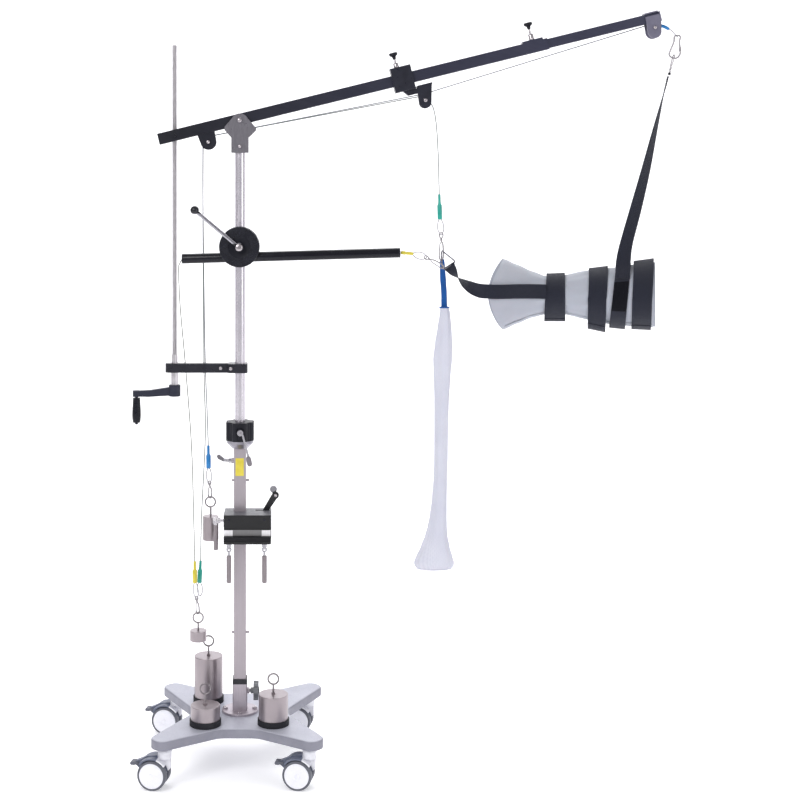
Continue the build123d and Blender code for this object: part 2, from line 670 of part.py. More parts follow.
with BuildPart() as end_fork:
    for y in (16.2, -12.8):
        with BuildSketch(facing(y)):
            with BuildLine():
                Polyline((1072, 1966.5), (1107, 1975.3), (1114, 1963), (1114.5, 1929),
                         (1078.5, 1929), close=True)
            make_face()
            with Locations((1096.5, 1929)):
                Circle(18)
        extrude(amount=3.4)
    # cap plate over the boom extension, and end plate
    slab(boom_side(16.2),
         ((CAP_START, 12.7), (EXT_END - 2, 12.7), (EXT_END - 2, 16.2), (CAP_START, 16.2)), 32.4)
    with BuildSketch(boom_cut(EXT_END + 0.1)):
        Rectangle(32.4, 26)
    extrude(amount=3)
    disc(facing(19, *END_SHEAVE), AXLE_R, 38)
    disc(facing(-16, *END_SHEAVE), 4.8, 4)
save(end_fork, "end_fork")

sheaves("end_sheave", to_boom(*END_SHEAVE), starts=(-5.5,), width=11.0,
        rim_radius=14.0, groove_radius=10.5)

# pulled out: the nose stops just above the extension
plunger("extension_plunger", EXT_PLUNGER, nose=12.7, pin_length=38, neck=49)

# ---------------------------------------------------------------- carriage on the boom
CARRIAGE = to_boom(431.0, PIVOT_H + 431.0 * tan(BOOM_ANGLE))[0]
MID_SHEAVE = (491.0, 1747.0)          # x, height
CARRIAGE_PLUNGER = CARRIAGE - 8

with BuildPart() as carriage_collar:
    with BuildSketch(boom_cut(CARRIAGE - 27.5)):
        with Locations((0, 1)):
            RectangleRounded(42, 66, 2)
        Rectangle(BOOM_W + 0.2, BOOM_W + 0.2, mode=CUT)
    extrude(amount=55)
    # drop arm and the shelf beside it
    slab(boom_side(12),
         ((CARRIAGE - 8, -31), (CARRIAGE + 4, -46), (CARRIAGE + 46, -46), (CARRIAGE + 46, -38),
          (CARRIAGE + 27, -31)), 24)
    slab(boom_side(12),
         ((CARRIAGE + 26, -30), (CARRIAGE + 74, -30), (CARRIAGE + 74, -26), (CARRIAGE + 34, -26),
          (CARRIAGE + 26, -29)), 24)
    # cheeks of the mid fork, axle and axle head
    for y in (12.0, -9.0):
        with BuildSketch(facing(y)):
            with BuildLine():
                Polyline((469, 1784.5), (508, 1794), (507, 1742), (475, 1742), close=True)
            make_face()
            with Locations((491, 1742)):
                Circle(16)
        extrude(amount=3)
    disc(facing(15, *MID_SHEAVE), AXLE_R, 30)
    disc(facing(-11.8, *MID_SHEAVE), 5, 4)
    # barrel of the plunger
    disc(boom_deck(CARRIAGE_PLUNGER, 33), 6.5, 13)
    bore(boom_deck(CARRIAGE_PLUNGER, 14), PLUNGER_R + GAP, 40)
save(carriage_collar, "carriage_collar")

sheaves("mid_sheave", to_boom(*MID_SHEAVE), starts=(-4.5,), width=9.0,
        rim_radius=14.5, groove_radius=11.5)
plunger("carriage_plunger", CARRIAGE_PLUNGER, nose=15.3, pin_length=42, neck=56)

# ---------------------------------------------------------------- cross tube and its clamp
DISC_H, DISC_R = 1361.0, 53.0
STUD_R = 8                            # stud through the clamp discs
TUBE_R, TUBE_WALL, TUBE_Y = 13.0, 2, -38.0
TUBE_LOW_X, TUBE_LOW_H = -149.0, 1329.5
TUBE_HIGH_X, TUBE_HIGH_H = 420.0, 1345.3
TUBE_L = sqrt((TUBE_HIGH_X - TUBE_LOW_X) ** 2 + (TUBE_HIGH_H - TUBE_LOW_H) ** 2)
TUBE_COS = (TUBE_HIGH_X - TUBE_LOW_X) / TUBE_L
TUBE_SIN = (TUBE_HIGH_H - TUBE_LOW_H) / TUBE_L
LEVER_ANGLE = radians(140.0)
LEVER_ORIGIN = (0, -71, DISC_H - GROUND)
LEVER_DIR = (cos(LEVER_ANGLE), 0, sin(LEVER_ANGLE))


def tube_cut(along):
    """Plane across the cross tube, measured from its low -X mouth."""
    return Plane(origin=(TUBE_LOW_X + along * TUBE_COS, TUBE_Y,
                         TUBE_LOW_H - GROUND + along * TUBE_SIN),
                 x_dir=(0, 1, 0), z_dir=(TUBE_COS, 0, TUBE_SIN))


with BuildPart() as cross_clamp:
    with BuildSketch(level(1335)):
        RectangleRounded(50, 40, 4)
    extrude(amount=52)
    disc(facing(-19, 0, DISC_H), STUD_R, 45.2)
    bore(level(1334), MAST_R + GAP, 54)
save(cross_clamp, "cross_clamp")

with BuildPart() as clamp_disc:
    disc(facing(-52, 0, DISC_H), DISC_R, 8)
    fillet(clamp_disc.edges().group_by(Axis.Y)[0], 1.5)
    disc(facing(-20.3, 0, DISC_H), DISC_R, 4.3)
    # block between the discs
    with BuildSketch(facing(-24, 0, DISC_H)):
        Rectangle(56, 76)
    extrude(amount=29)
    bore(tube_cut(40), TUBE_R + GAP, 220)
    bore(facing(-15, 0, DISC_H), STUD_R + GAP, 60)
save(clamp_disc, "clamp_disc")

# hub, and a round handle ending in a knob
with BuildPart() as clamp_lever:
    disc(facing(-60.2, 0, DISC_H), 12, 16.8)
    with BuildSketch(Plane(origin=LEVER_ORIGIN, x_dir=LEVER_DIR,
                           z_dir=(-sin(LEVER_ANGLE), 0, cos(LEVER_ANGLE)))):
        with BuildLine():
            Polyline((162.3, 0), (7, 0), (7, 5), (140.64, 5))
            ThreePointArc((140.64, 5), (150.5, 11.5), (162.3, 1.5))
            Line((162.3, 1.5), (162.3, 0))
        make_face()
    revolve(axis=Axis(LEVER_ORIGIN, LEVER_DIR), revolution_arc=360)
    bore(facing(-59, 0, DISC_H), STUD_R + GAP, 5.6)
save(clamp_lever, "clamp_lever")

with BuildPart() as cross_tube:
    with BuildSketch(tube_cut(0)):
        Circle(TUBE_R)
        Circle(TUBE_R - TUBE_WALL, mode=CUT)
    extrude(amount=TUBE_L)
    # plug and ferrule at the high end, with loop and snap hook
    disc(tube_cut(TUBE_L - 12), TUBE_R - TUBE_WALL, 11)
    disc(tube_cut(TUBE_L - 5), 4.5, 40)
    with BuildSketch(facing(-36.5, 456, 1342)):
        with Locations(Location((18, -2), -10)):
            SlotOverall(44, 20)
            SlotOverall(40, 16, mode=CUT)
    extrude(amount=3)
    with BuildSketch(facing(-36, 502, 1332)):
        with Locations(Location((6, -4), -22)):
            SlotOverall(62, 16)
            SlotOverall(55, 9, mode=CUT)
    extrude(amount=4)
save(cross_tube, "cross_tube")

# ---------------------------------------------------------------- lines
GREEN_Y, BLUE_Y = 4.9, -4.9
REAR_LINES_Y = 20.0       # the hanging lines pass behind the screw bracket
YELLOW_Y = 3.0


def point(x, y, height):
    return (x, y, height - GROUND)


def cable(label, points):
    """Straight runs of rope."""
    with BuildPart() as line:
        with BuildLine() as path:
            Polyline(*[point(*p) for p in points])
        with BuildSketch(Plane(origin=path.line @ 0, z_dir=path.line % 0)):
            Circle(LINE_R)
        sweep(transition=Transition.ROUND)
    save(line, label)


def hanging_lines(label, lines):
    """Ropes with a tapered ferrule and flat slot-shaped links below.

    Each line is (path, ferrule bottom, ferrule top, links), points as (x, y, height).
    Each link is (y of its back face, x, height), outer length and width,
    inner length and width, depth.
    """
    with BuildPart() as hung:
        for path_points, ferrule_bottom, ferrule_top, links in lines:
            with BuildLine() as path:
                Spline(*[point(*p) for p in path_points])
            with BuildSketch(Plane(origin=path.line @ 0, z_dir=path.line % 0)):
                Circle(LINE_R)
            sweep()
            for (x, y, height), radius in ((ferrule_bottom, 5.5), (ferrule_top, 2.4)):
                with BuildSketch(level(height, x, y)):
                    Circle(radius)
            loft()
            for place, outer, inner, depth in links:
                with BuildSketch(facing(*place)):
                    SlotOverall(*outer, rotation=90)
                    SlotOverall(*inner, rotation=90, mode=CUT)
                extrude(amount=depth)
    save(hung, label)


def hung_weight(label, x, y, bottom, radius, height, stem_length, bar_h, ring_x, ring_h):
    """Cylinder with stem, cross bar and ring."""
    with BuildPart() as weight:
        disc(level(bottom, x, y), radius, height)
        fillet(weight.edges().filter_by(GeomType.CIRCLE), 1.2)
        disc(level(bottom + height - 1, x, y), 2.4, stem_length)
        ring(ring_x, y - 6, ring_h, 13.2, 2.0)
        with BuildSketch(level(bar_h, x, y - 3)):
            Rectangle(5, 10)
        extrude(amount=4)
    save(weight, label)


cable("green_cable", [(-86.2, GREEN_Y, 1650.9), (488.6, 0, 1759.6)])
cable("blue_cable", [(-86.2, BLUE_Y, 1650.9), (488.0, -3.4, 1764.2), (1093.4, 0, 1950.2)])

hanging_lines("rear_lines", [
    ([(-98.2, BLUE_Y, 1634), (-98.5, -2, 1500), (-95.5, 9, 1200), (-93, 15, 1040),
      (-85.5, REAR_LINES_Y, 827.2)],
     (-85.0, REAR_LINES_Y, 767), (-85.5, REAR_LINES_Y, 827),
     [((REAR_LINES_Y + 1.5, -83, 750), (42, 17), (38, 13), 3),
      ((REAR_LINES_Y + 2, -81.5, 712), (50, 11), (44, 6), 4)]),
    ([(-98.2, GREEN_Y, 1634), (-99, 9, 1400), (-97, 18.6, 1040), (-93.5, 20, 860),
      (-103.5, REAR_LINES_Y, 640), (-106, REAR_LINES_Y, 520.2)],
     (-109, REAR_LINES_Y, 462), (-106, REAR_LINES_Y, 520),
     [((REAR_LINES_Y + 1.5, -108, 446), (40, 16), (36, 12), 3)])])

hung_weight("hung_weight_large", x=-79, y=REAR_LINES_Y, bottom=577, radius=21, height=63,
            stem_length=25, bar_h=662, ring_x=-79.5, ring_h=679)

hanging_lines("yellow_line", [
    ([(-151, TUBE_Y, 1327), (-160.5, -33, 1302), (-158, -10, 1200), (-146, 15.6, 1040),
      (-130, 14, 830), (-120.5, YELLOW_Y, 523.2)],
     (-120, YELLOW_Y, 466), (-120.4, YELLOW_Y, 523),
     [((YELLOW_Y + 1.5, -117, 448), (42, 15), (38, 11), 3),
      ((YELLOW_Y + 2, -113, 407), (44, 13), (36, 6), 4)])])

hung_weight("hung_weight_small", x=-111, y=YELLOW_Y, bottom=314, radius=22, height=27,
            stem_length=22, bar_h=359, ring_x=-111, ring_h=376)

# drops from the mid sheave to the hand net
hanging_lines("green_drop_line", [
    ([(504.2, 0, 1747), (514, 0, 1728), (521, 1, 1690), (526, 3, 1600), (529, 6, 1497.2)],
     (531, 8, 1431), (529, 6.2, 1497),
     [((9.5, 533, 1412), (44, 20), (40, 16), 3),
      ((10, 534, 1356), (72, 13), (64, 7), 4)])])

# ---------------------------------------------------------------- forearm sleeve
# x, half height, half depth, height of the centre
SLEEVE = [
    (664, 90, 76, 1236), (694, 93, 78, 1233), (740, 70, 66, 1234),
    (790, 52, 52, 1234), (840, 51, 50, 1233), (900, 58, 56, 1233),
    (960, 73, 68, 1233), (1020, 84, 76, 1234), (1099, 88, 80, 1236)]
OUTER_INSET, INNER_INSET = 2.2, 10.5
# the cavity runs past both ends so that it opens them
OVERRUN = {SLEEVE[0][0]: -2, SLEEVE[-1][0]: 2}

with BuildPart() as arm_sleeve:
    for x, half_h, half_d, height in SLEEVE:
        with BuildSketch(sideways(x, 0, height)):
            Ellipse(half_d - OUTER_INSET, half_h - OUTER_INSET)
    loft()
    for x, half_h, half_d, height in SLEEVE:
        with BuildSketch(sideways(x + OVERRUN.get(x, 0), 0, height)):
            Ellipse(half_d - INNER_INSET, half_h - INNER_INSET)
    loft(mode=CUT)
save(arm_sleeve, "arm_sleeve")

# ---------------------------------------------------------------- sling straps
# start x, end x, height of the centre
STRAP_RINGS = ((814, 866, 1233), (924, 976, 1233), (992, 1036, 1234), (1042, 1095, 1235.5))
# x, height
HANGING_STRAP = ((993, 1326), (1031, 1326), (1139.5, 1806), (1131.5, 1806), (1093, 1700))
SWIVEL = ((1133, 1804), (1138, 1804), (1151, 1866), (1146, 1866))
TIP_LINK = ((1115, 1951), (1140, 1942), (1156, 1921), (1152, 1917), (1136, 1933), (1112, 1943))
STRAP_END = ((579, 1220), (579, 1256), (567, 1325), (547.5, 1305), (566, 1278))
STRAP_LOOP = (
    (544, 1303), (547, 1353), (552, 1353), (571, 1322), (566, 1317), (551, 1342), (549, 1306))
# x, y of the long strap in front of the sleeve
LONG_STRAP = (
    (812, -60), (740, -76), (694, -88), (664, -87), (636, -69), (600, -37), (575, -19),
    (575, -15), (602, -32), (638, -64.5), (666, -83.5), (694, -84.5), (740, -72.5), (812, -56.5))


def sleeve_half_sizes(x):
    """Half height and half depth of the sleeve at x, between its stations."""
    for a, b in zip(SLEEVE, SLEEVE[1:]):
        if a[0] <= x <= b[0]:
            t = (x - a[0]) / (b[0] - a[0])
            return (a[1] + t * (b[1] - a[1]), a[2] + t * (b[2] - a[2]))


with BuildPart() as sling_straps:
    # rings that clear the widest of the sleeve's start, end and middle under them
    for start, end, height in STRAP_RINGS:
        sizes = [sleeve_half_sizes(x) for x in (start, end, (start + end) / 2)]
        half_h = max(size[0] for size in sizes)
        half_d = max(size[1] for size in sizes)
        with BuildSketch(sideways(start, 0, height)):
            Ellipse(half_d + 3.2, half_h + 3.2)
            Ellipse(half_d + 0.9, half_h + 0.9, mode=CUT)
        extrude(amount=end - start)
    # from the rings up to the boom tip
    slab(facing(2), HANGING_STRAP, 4)
    slab(facing(2), SWIVEL, 4)
    with BuildSketch(facing(2.5, 1153, 1889)):
        SlotOverall(66, 30, rotation=90)
        SlotOverall(58, 22, rotation=90, mode=CUT)
    extrude(amount=5)
    slab(facing(2), TIP_LINK, 4)
    # long strap at the sleeve's -X end
    slab(level(1218), LONG_STRAP, 40)
    slab(facing(-14), STRAP_END, 4)
    slab(facing(-14), STRAP_LOOP, 4)
save(sling_straps, "sling_straps")

# ---------------------------------------------------------------- hand net
NET_Y = 16
# height, half width, half depth, x of the centre
NET = [
    (1196, 11.5, 7, 543), (1059, 24, 10, 538), (953, 19, 9, 537), (802, 18, 9, 535),
    (680, 20, 10, 531), (615, 25, 12, 527), (519, 52, 15, 517), (499, 47, 13, 516)]

with BuildPart() as hand_net:
    for height, half_w, half_d, x in NET:
        with BuildSketch(level(height, x, NET_Y)):
            Ellipse(half_w, half_d)
    loft()
    # knit band and its loop at the top
    with BuildSketch(level(1196, 543, NET_Y)):
        Rectangle(17, 6)
    with BuildSketch(level(1290, 537, 13)):
        Rectangle(15, 5)
    loft()
    with BuildSketch(facing(17.5, 535, 1313)):
        SlotOverall(50, 15, rotation=90)
        SlotOverall(36, 5, rotation=90, mode=CUT)
    extrude(amount=3)
save(hand_net, "hand_net")
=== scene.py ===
import math

import bmesh
import bpy
from mathutils import Matrix, Vector


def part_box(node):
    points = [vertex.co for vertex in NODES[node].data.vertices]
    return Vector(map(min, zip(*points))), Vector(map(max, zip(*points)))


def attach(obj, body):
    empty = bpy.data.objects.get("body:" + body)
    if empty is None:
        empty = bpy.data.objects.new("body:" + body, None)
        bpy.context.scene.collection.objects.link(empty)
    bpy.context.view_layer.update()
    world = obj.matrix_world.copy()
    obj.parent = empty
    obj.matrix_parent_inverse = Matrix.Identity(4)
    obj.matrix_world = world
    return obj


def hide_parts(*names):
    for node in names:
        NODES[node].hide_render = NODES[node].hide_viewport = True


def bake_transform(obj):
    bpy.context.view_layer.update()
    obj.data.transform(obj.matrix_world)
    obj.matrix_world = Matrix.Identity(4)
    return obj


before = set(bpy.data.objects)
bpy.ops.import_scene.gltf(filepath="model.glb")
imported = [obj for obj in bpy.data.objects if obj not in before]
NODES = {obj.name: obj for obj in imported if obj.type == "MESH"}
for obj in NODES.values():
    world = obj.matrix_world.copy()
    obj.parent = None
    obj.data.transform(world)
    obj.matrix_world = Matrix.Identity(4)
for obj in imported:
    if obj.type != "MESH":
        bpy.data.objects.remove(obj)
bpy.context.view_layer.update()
G = 0.1                       # height of the row's origin above the floor


# ------------------------------------------------------------------ small helpers
def P(x, y, h):
    """Millimetres with the height above the floor, to metres in the row frame."""
    return Vector((x / 1000.0, y / 1000.0, h / 1000.0 - G))


def link(o):
    bpy.context.scene.collection.objects.link(o)
    return o


def mesh_object(name, verts, faces, smooth=True):
    me = bpy.data.meshes.new(name)
    me.from_pydata([tuple(v) for v in verts], [], faces)
    me.validate()
    me.update()
    for p in me.polygons:
        p.use_smooth = smooth
    return link(bpy.data.objects.new(name, me))


def activate(o):
    bpy.ops.object.select_all(action="DESELECT")
    o.select_set(True)
    bpy.context.view_layer.objects.active = o


def apply_all(o):
    activate(o)
    for m in list(o.modifiers):
        bpy.ops.object.modifier_apply(modifier=m.name)
    return o


def paint(o, mat):
    o.data.materials.clear()
    o.data.materials.append(mat)
    return o


def catmull(pts, n=8):
    """Smooth path through the points."""
    out = []
    p = [Vector(q) for q in pts]
    p = [p[0] * 2 - p[1]] + p + [p[-1] * 2 - p[-2]]
    for i in range(1, len(p) - 2):
        for k in range(n):
            t = k / n
            a, b, c, d = p[i - 1], p[i], p[i + 1], p[i + 2]
            out.append(0.5 * ((2 * b) + (c - a) * t + (2 * a - 5 * b + 4 * c - d) * t * t + (3 * b - a - 3 * c + d) * t ** 3))
    out.append(p[-2])
    return out


def tube(name, path, radius, mat, body=None, sides=10, closed=False, flat=1.0, caps=True):
    """Round (or flattened) wire along a path; radius may be a list. Builds a closed mesh."""
    path = [Vector(q) for q in path]
    n = len(path)
    rad = radius if isinstance(radius, (list, tuple)) else [radius] * n
    verts, faces = [], []
    ref = None
    for i, p in enumerate(path):
        if closed:
            t = (path[(i + 1) % n] - path[i - 1]).normalized()
        else:
            t = (path[min(i + 1, n - 1)] - path[max(i - 1, 0)]).normalized()
        if ref is None:
            ref = Vector((0, 1, 0)) if abs(t.y) < 0.9 else Vector((1, 0, 0))
        u = (ref - t * ref.dot(t)).normalized()
        ref = u
        v = t.cross(u)
        for k in range(sides):
            a = 2 * math.pi * k / sides
            verts.append(p + u * (math.cos(a) * rad[i] * flat) + v * (math.sin(a) * rad[i]))
    m = n if closed else n - 1
    for i in range(m):
        j = (i + 1) % n
        for k in range(sides):
            l = (k + 1) % sides
            faces.append((i * sides + k, i * sides + l, j * sides + l, j * sides + k))
    if not closed and caps:
        faces.append(tuple(reversed(range(sides))))
        faces.append(tuple((n - 1) * sides + k for k in range(sides)))
    o = mesh_object(name, verts, faces)
    bm = bmesh.new()
    bm.from_mesh(o.data)
    bmesh.ops.recalc_face_normals(bm, faces=bm.faces)
    bm.to_mesh(o.data)
    bm.free()
    paint(o, mat)
    if body:
        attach(o, body)
    return o


def lathe(name, profile, origin, axis, mat, body=None, sides=40):
    """Turned piece: profile is a list of (distance along axis, radius), in mm."""
    axis = Vector(axis).normalized()
    ref = Vector((0, 1, 0)) if abs(axis.y) < 0.9 else Vector((1, 0, 0))
    u = (ref - axis * ref.dot(axis)).normalized()
    v = axis.cross(u)
    verts, faces = [], []
    for d, r in profile:
        for k in range(sides):
            a = 2 * math.pi * k / sides
            verts.append(Vector(origin) + axis * (d / 1000) + (u * math.cos(a) + v * math.sin(a)) * (max(r, 0.01) / 1000))
    n = len(profile)
    for i in range(n - 1):
        for k in range(sides):
            l = (k + 1) % sides
            faces.append((i * sides + k, i * sides + l, (i + 1) * sides + l, (i + 1) * sides + k))
    faces.append(tuple(reversed(range(sides))))
    faces.append(tuple((n - 1) * sides + k for k in range(sides)))
    o = mesh_object(name, verts, faces)
    bm = bmesh.new()
    bm.from_mesh(o.data)
    bmesh.ops.recalc_face_normals(bm, faces=bm.faces)
    bm.to_mesh(o.data)
    bm.free()
    mod = o.modifiers.new("edges", "BEVEL")
    mod.width = 0.0005
    mod.segments = 2
    mod.limit_method = "ANGLE"
    mod.angle_limit = math.radians(35)
    apply_all(o)
    for p in o.data.polygons:
        p.use_smooth = True
    if hasattr(o.data, "set_sharp_from_angle"):
        o.data.set_sharp_from_angle(angle=math.radians(40))
    paint(o, mat)
    if body:
        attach(o, body)
    return o


# ------------------------------------------------------------------ node materials
class Mat:
    """Short-hand for building a node material."""

    def __init__(self, name):
        self.m = bpy.data.materials.new(name)
        self.m.use_nodes = True
        self.t = self.m.node_tree
        self.b = self.t.nodes["Principled BSDF"]
        self.co = self.t.nodes.new("ShaderNodeTexCoord").outputs["Object"]
        self.bump_h = None

    def node(self, kind, **kw):
        n = self.t.nodes.new(kind)
        for k, v in kw.items():
            setattr(n, k, v)
        return n

    def put(self, sock, val):
        if hasattr(val, "links"):
            self.t.links.new(val, sock)
        else:
            if isinstance(val, tuple) and len(val) == 3 and len(sock.default_value) == 4:
                val = val + (1.0,)
            sock.default_value = val
        return self

    def set(self, **kw):
        names = {"color": "Base Color", "metal": "Metallic", "rough": "Roughness", "spec": "Specular IOR Level", "coat": "Coat Weight",
                 "coat_rough": "Coat Roughness", "sheen": "Sheen Weight", "sheen_rough": "Sheen Roughness", "aniso": "Anisotropic",
                 "alpha": "Alpha", "trans": "Transmission Weight", "sub": "Subsurface Weight"}
        for k, v in kw.items():
            self.put(self.b.inputs[names[k]], v)
        return self

    def mapped(self, scale=(1, 1, 1), rot=(0, 0, 0), src=None):
        mp = self.node("ShaderNodeMapping")
        self.put(mp.inputs["Vector"], src or self.co)
        mp.inputs["Scale"].default_value = scale
        mp.inputs["Rotation"].default_value = rot
        return mp.outputs["Vector"]

    def noise(self, scale, detail=3.0, rough=0.5, vec=None, stretch=None):
        n = self.node("ShaderNodeTexNoise")
        self.put(n.inputs["Vector"], self.mapped(stretch) if stretch else (vec or self.co))
        n.inputs["Scale"].default_value = scale
        n.inputs["Detail"].default_value = detail
        n.inputs["Roughness"].default_value = rough
        return n.outputs["Fac"]

    def wave(self, scale, direction="X", profile="SIN", vec=None, distort=0.0):
        n = self.node("ShaderNodeTexWave", bands_direction=direction, wave_profile=profile)
        self.put(n.inputs["Vector"], vec or self.co)
        n.inputs["Scale"].default_value = scale
        n.inputs["Distortion"].default_value = distort
        return n.outputs["Fac"]

    def voronoi(self, scale, feature="F1", out="Distance"):
        n = self.node("ShaderNodeTexVoronoi", feature=feature)
        self.put(n.inputs["Vector"], self.co)
        n.inputs["Scale"].default_value = scale
        return n.outputs[out]

    def math(self, op, a, b=0.0, c=None):
        n = self.node("ShaderNodeMath", operation=op)
        self.put(n.inputs[0], a)
        self.put(n.inputs[1], b)
        if c is not None:
            self.put(n.inputs[2], c)
        return n.outputs[0]

    def ramp(self, fac, lo, hi, c0, c1):
        n = self.node("ShaderNodeMapRange")
        self.put(n.inputs["Value"], fac)
        n.inputs["From Min"].default_value = lo
        n.inputs["From Max"].default_value = hi
        n.inputs["To Min"].default_value = c0
        n.inputs["To Max"].default_value = c1
        return n.outputs["Result"]

    def mix(self, fac, a, b):
        n = self.node("ShaderNodeMix", data_type="RGBA")
        self.put(n.inputs["Factor"], fac)
        self.put(n.inputs[6], a)
        self.put(n.inputs[7], b)
        return n.outputs[2]

    def mixf(self, fac, a, b):
        n = self.node("ShaderNodeMix", data_type="FLOAT")
        self.put(n.inputs[0], fac)
        self.put(n.inputs[2], a)
        self.put(n.inputs[3], b)
        return n.outputs[0]

    def sep(self, src=None):
        n = self.node("ShaderNodeSeparateXYZ")
        self.put(n.inputs[0], src or self.co)
        return n.outputs

    def bump(self, height, strength=0.3, dist=0.0005):
        n = self.node("ShaderNodeBump")
        n.inputs["Strength"].default_value = strength
        n.inputs["Distance"].default_value = dist
        self.put(n.inputs["Height"], height)
        if self.bump_h is not None:
            self.put(n.inputs["Normal"], self.bump_h)
        self.bump_h = n.outputs["Normal"]
        self.put(self.b.inputs["Normal"], self.bump_h)
        return self

    def edges(self, lo=0.52, hi=0.62):
        g = self.node("ShaderNodeNewGeometry")
        return self.ramp(g.outputs["Pointiness"], lo, hi, 0.0, 1.0)

    def ao(self, dist=0.02):
        n = self.node("ShaderNodeAmbientOcclusion", samples=4)
        n.inputs["Distance"].default_value = dist
        return n.outputs["AO"]


def srgb(r, g, b):
    f = lambda c: (c / 255 / 12.92) if c / 255 <= 0.04045 else ((c / 255 + 0.055) / 1.055) ** 2.4
    return (f(r), f(g), f(b))


def paint_mat(name, rgb, rough=0.34, peel=1.0, wear=0.35, metal=0.0):
    m = Mat(name)
    base = m.mix(m.ramp(m.noise(9, 4), 0.3, 0.7, 0, 1), srgb(*[max(0, c - 5) for c in rgb]), srgb(*[min(255, c + 5) for c in rgb]))
    scuff = m.math("MULTIPLY", m.ramp(m.noise(900, 4), 0.66, 0.74, 0, wear * 0.5), m.ramp(m.noise(30, 4), 0.5, 0.7, 0, 1))
    m.set(color=m.mix(scuff, base, srgb(*[min(255, c + 40) for c in rgb])), metal=metal, spec=0.28 if sum(rgb) < 180 else 0.45,
          rough=m.ramp(m.noise(60, 5), 0.3, 0.7, rough - 0.05, rough + 0.08))
    m.bump(m.noise(650, 2), 0.10 * peel, 0.0003)
    m.bump(m.noise(2600, 1), 0.06, 0.0001)
    return m.m


def plastic_mat(name, rgb, rough=0.42, grain=1.0, coat=0.0):
    m = Mat(name)
    m.set(color=m.mix(m.ramp(m.noise(25, 4), 0.3, 0.7, 0, 1), srgb(*[max(0, c - 4) for c in rgb]), srgb(*[min(255, c + 4) for c in rgb])),
          rough=m.ramp(m.noise(300, 3), 0.3, 0.7, rough - 0.06, rough + 0.08), spec=0.28 if sum(rgb) < 180 else 0.45, coat=coat)
    m.bump(m.voronoi(2600), 0.12 * grain, 0.0002)
    return m.m


def steel_mat(name, rgb, rough=0.22, axis=2, lines=1.0, metal=1.0):
    """Drawn or turned steel with fine marks across or along one axis."""
    m = Mat(name)
    st = [900.0, 900.0, 900.0]
    st[axis] = 14.0
    grain = m.noise(1.0, 3, 0.6, stretch=tuple(st))
    blot = m.noise(16, 4)
    m.set(color=m.mix(m.ramp(grain, 0.35, 0.65, 0, 1), srgb(*[max(0, c - 14) for c in rgb]), srgb(*[min(255, c + 8) for c in rgb])),
          metal=metal, rough=m.math("ADD", m.ramp(grain, 0.3, 0.7, rough - 0.05, rough + 0.07), m.ramp(blot, 0.3, 0.7, -0.03, 0.04)))
    m.bump(grain, 0.10 * lines, 0.0002)
    return m.m


BLACK = (22, 23, 32)
M_BASE = Mat("base_powder")
b = M_BASE
zc = b.sep()[2]
topmask = b.ramp(zc, 0.0265, 0.0275, 0, 1)
nrm = b.node("ShaderNodeNewGeometry").outputs["Normal"]
# upward faces take the paler colour and the sides the darker one: painted light on the tops, painted shade on the sides
painted_top_light = b.ramp(b.sep(nrm)[2], 0.55, 0.95, 0, 1)
top_lit_color = b.mix(b.ramp(b.noise(12, 5), 0.3, 0.7, 0, 1), srgb(180, 181, 194), srgb(194, 195, 207))
cols = b.mix(b.ramp(b.noise(22, 4), 0.3, 0.7, 0, 1), srgb(132, 132, 144), srgb(145, 145, 157))
speck = b.ramp(b.noise(1500, 2), 0.56, 0.62, 0, 0.35)
b.set(color=b.mix(speck, b.mix(painted_top_light, cols, top_lit_color), srgb(120, 118, 132)), rough=b.ramp(b.noise(80, 4), 0.3, 0.7, 0.38, 0.52), spec=0.4, metal=0.15)
b.bump(b.noise(900, 2), 0.22, 0.0004)
M_BASE = b.m

M_RUBBER = plastic_mat("black_rubber", (34, 34, 40), 0.62, 1.6)
M_BLACK = plastic_mat("black_moulding", BLACK, 0.38)
M_BLACKP = paint_mat("black_paint", (20, 21, 31), 0.33, 1.0, 0.5)
M_SLATE = plastic_mat("slate_moulding", (104, 112, 132), 0.4)
M_GREY = plastic_mat("grey_moulding", (96, 98, 110), 0.4)
M_VIOLET = paint_mat("grey_violet_paint", (108, 106, 124), 0.36)
M_FORK = paint_mat("dark_paint", (66, 68, 82), 0.34)
M_STEEL = steel_mat("turned_steel", (160, 156, 160), 0.26, 2, 1.0, 0.75)
M_STEELX = steel_mat("turned_steel_x", (188, 182, 186), 0.24, 0)
M_WIRE = steel_mat("bright_wire", (186, 184, 190), 0.25, 2, 0.3, 0.55)


def pole_mat(name, tint, rough, metal=1.0):
    m = Mat(name)
    grain = m.noise(1.0, 3, 0.6, stretch=(500, 500, 7))
    dust = m.noise(30, 5)
    wipes = m.noise(1.0, 4, 0.6, stretch=(40, 40, 9))
    m.set(color=m.mix(m.ramp(grain, 0.35, 0.65, 0, 1), srgb(*[c - 9 for c in tint]), srgb(*[min(255, c + 6) for c in tint])), metal=metal,
          rough=m.math("ADD", m.ramp(wipes, 0.35, 0.65, rough - 0.03, rough + 0.06), m.ramp(dust, 0.3, 0.7, -0.02, 0.03)))
    m.bump(grain, 0.05, 0.0002)
    return m.m


M_MAST = pole_mat("mast_chrome", (226, 221, 229), 0.24, 0.82)
M_POLE = pole_mat("pole_satin", (196, 195, 204), 0.24)


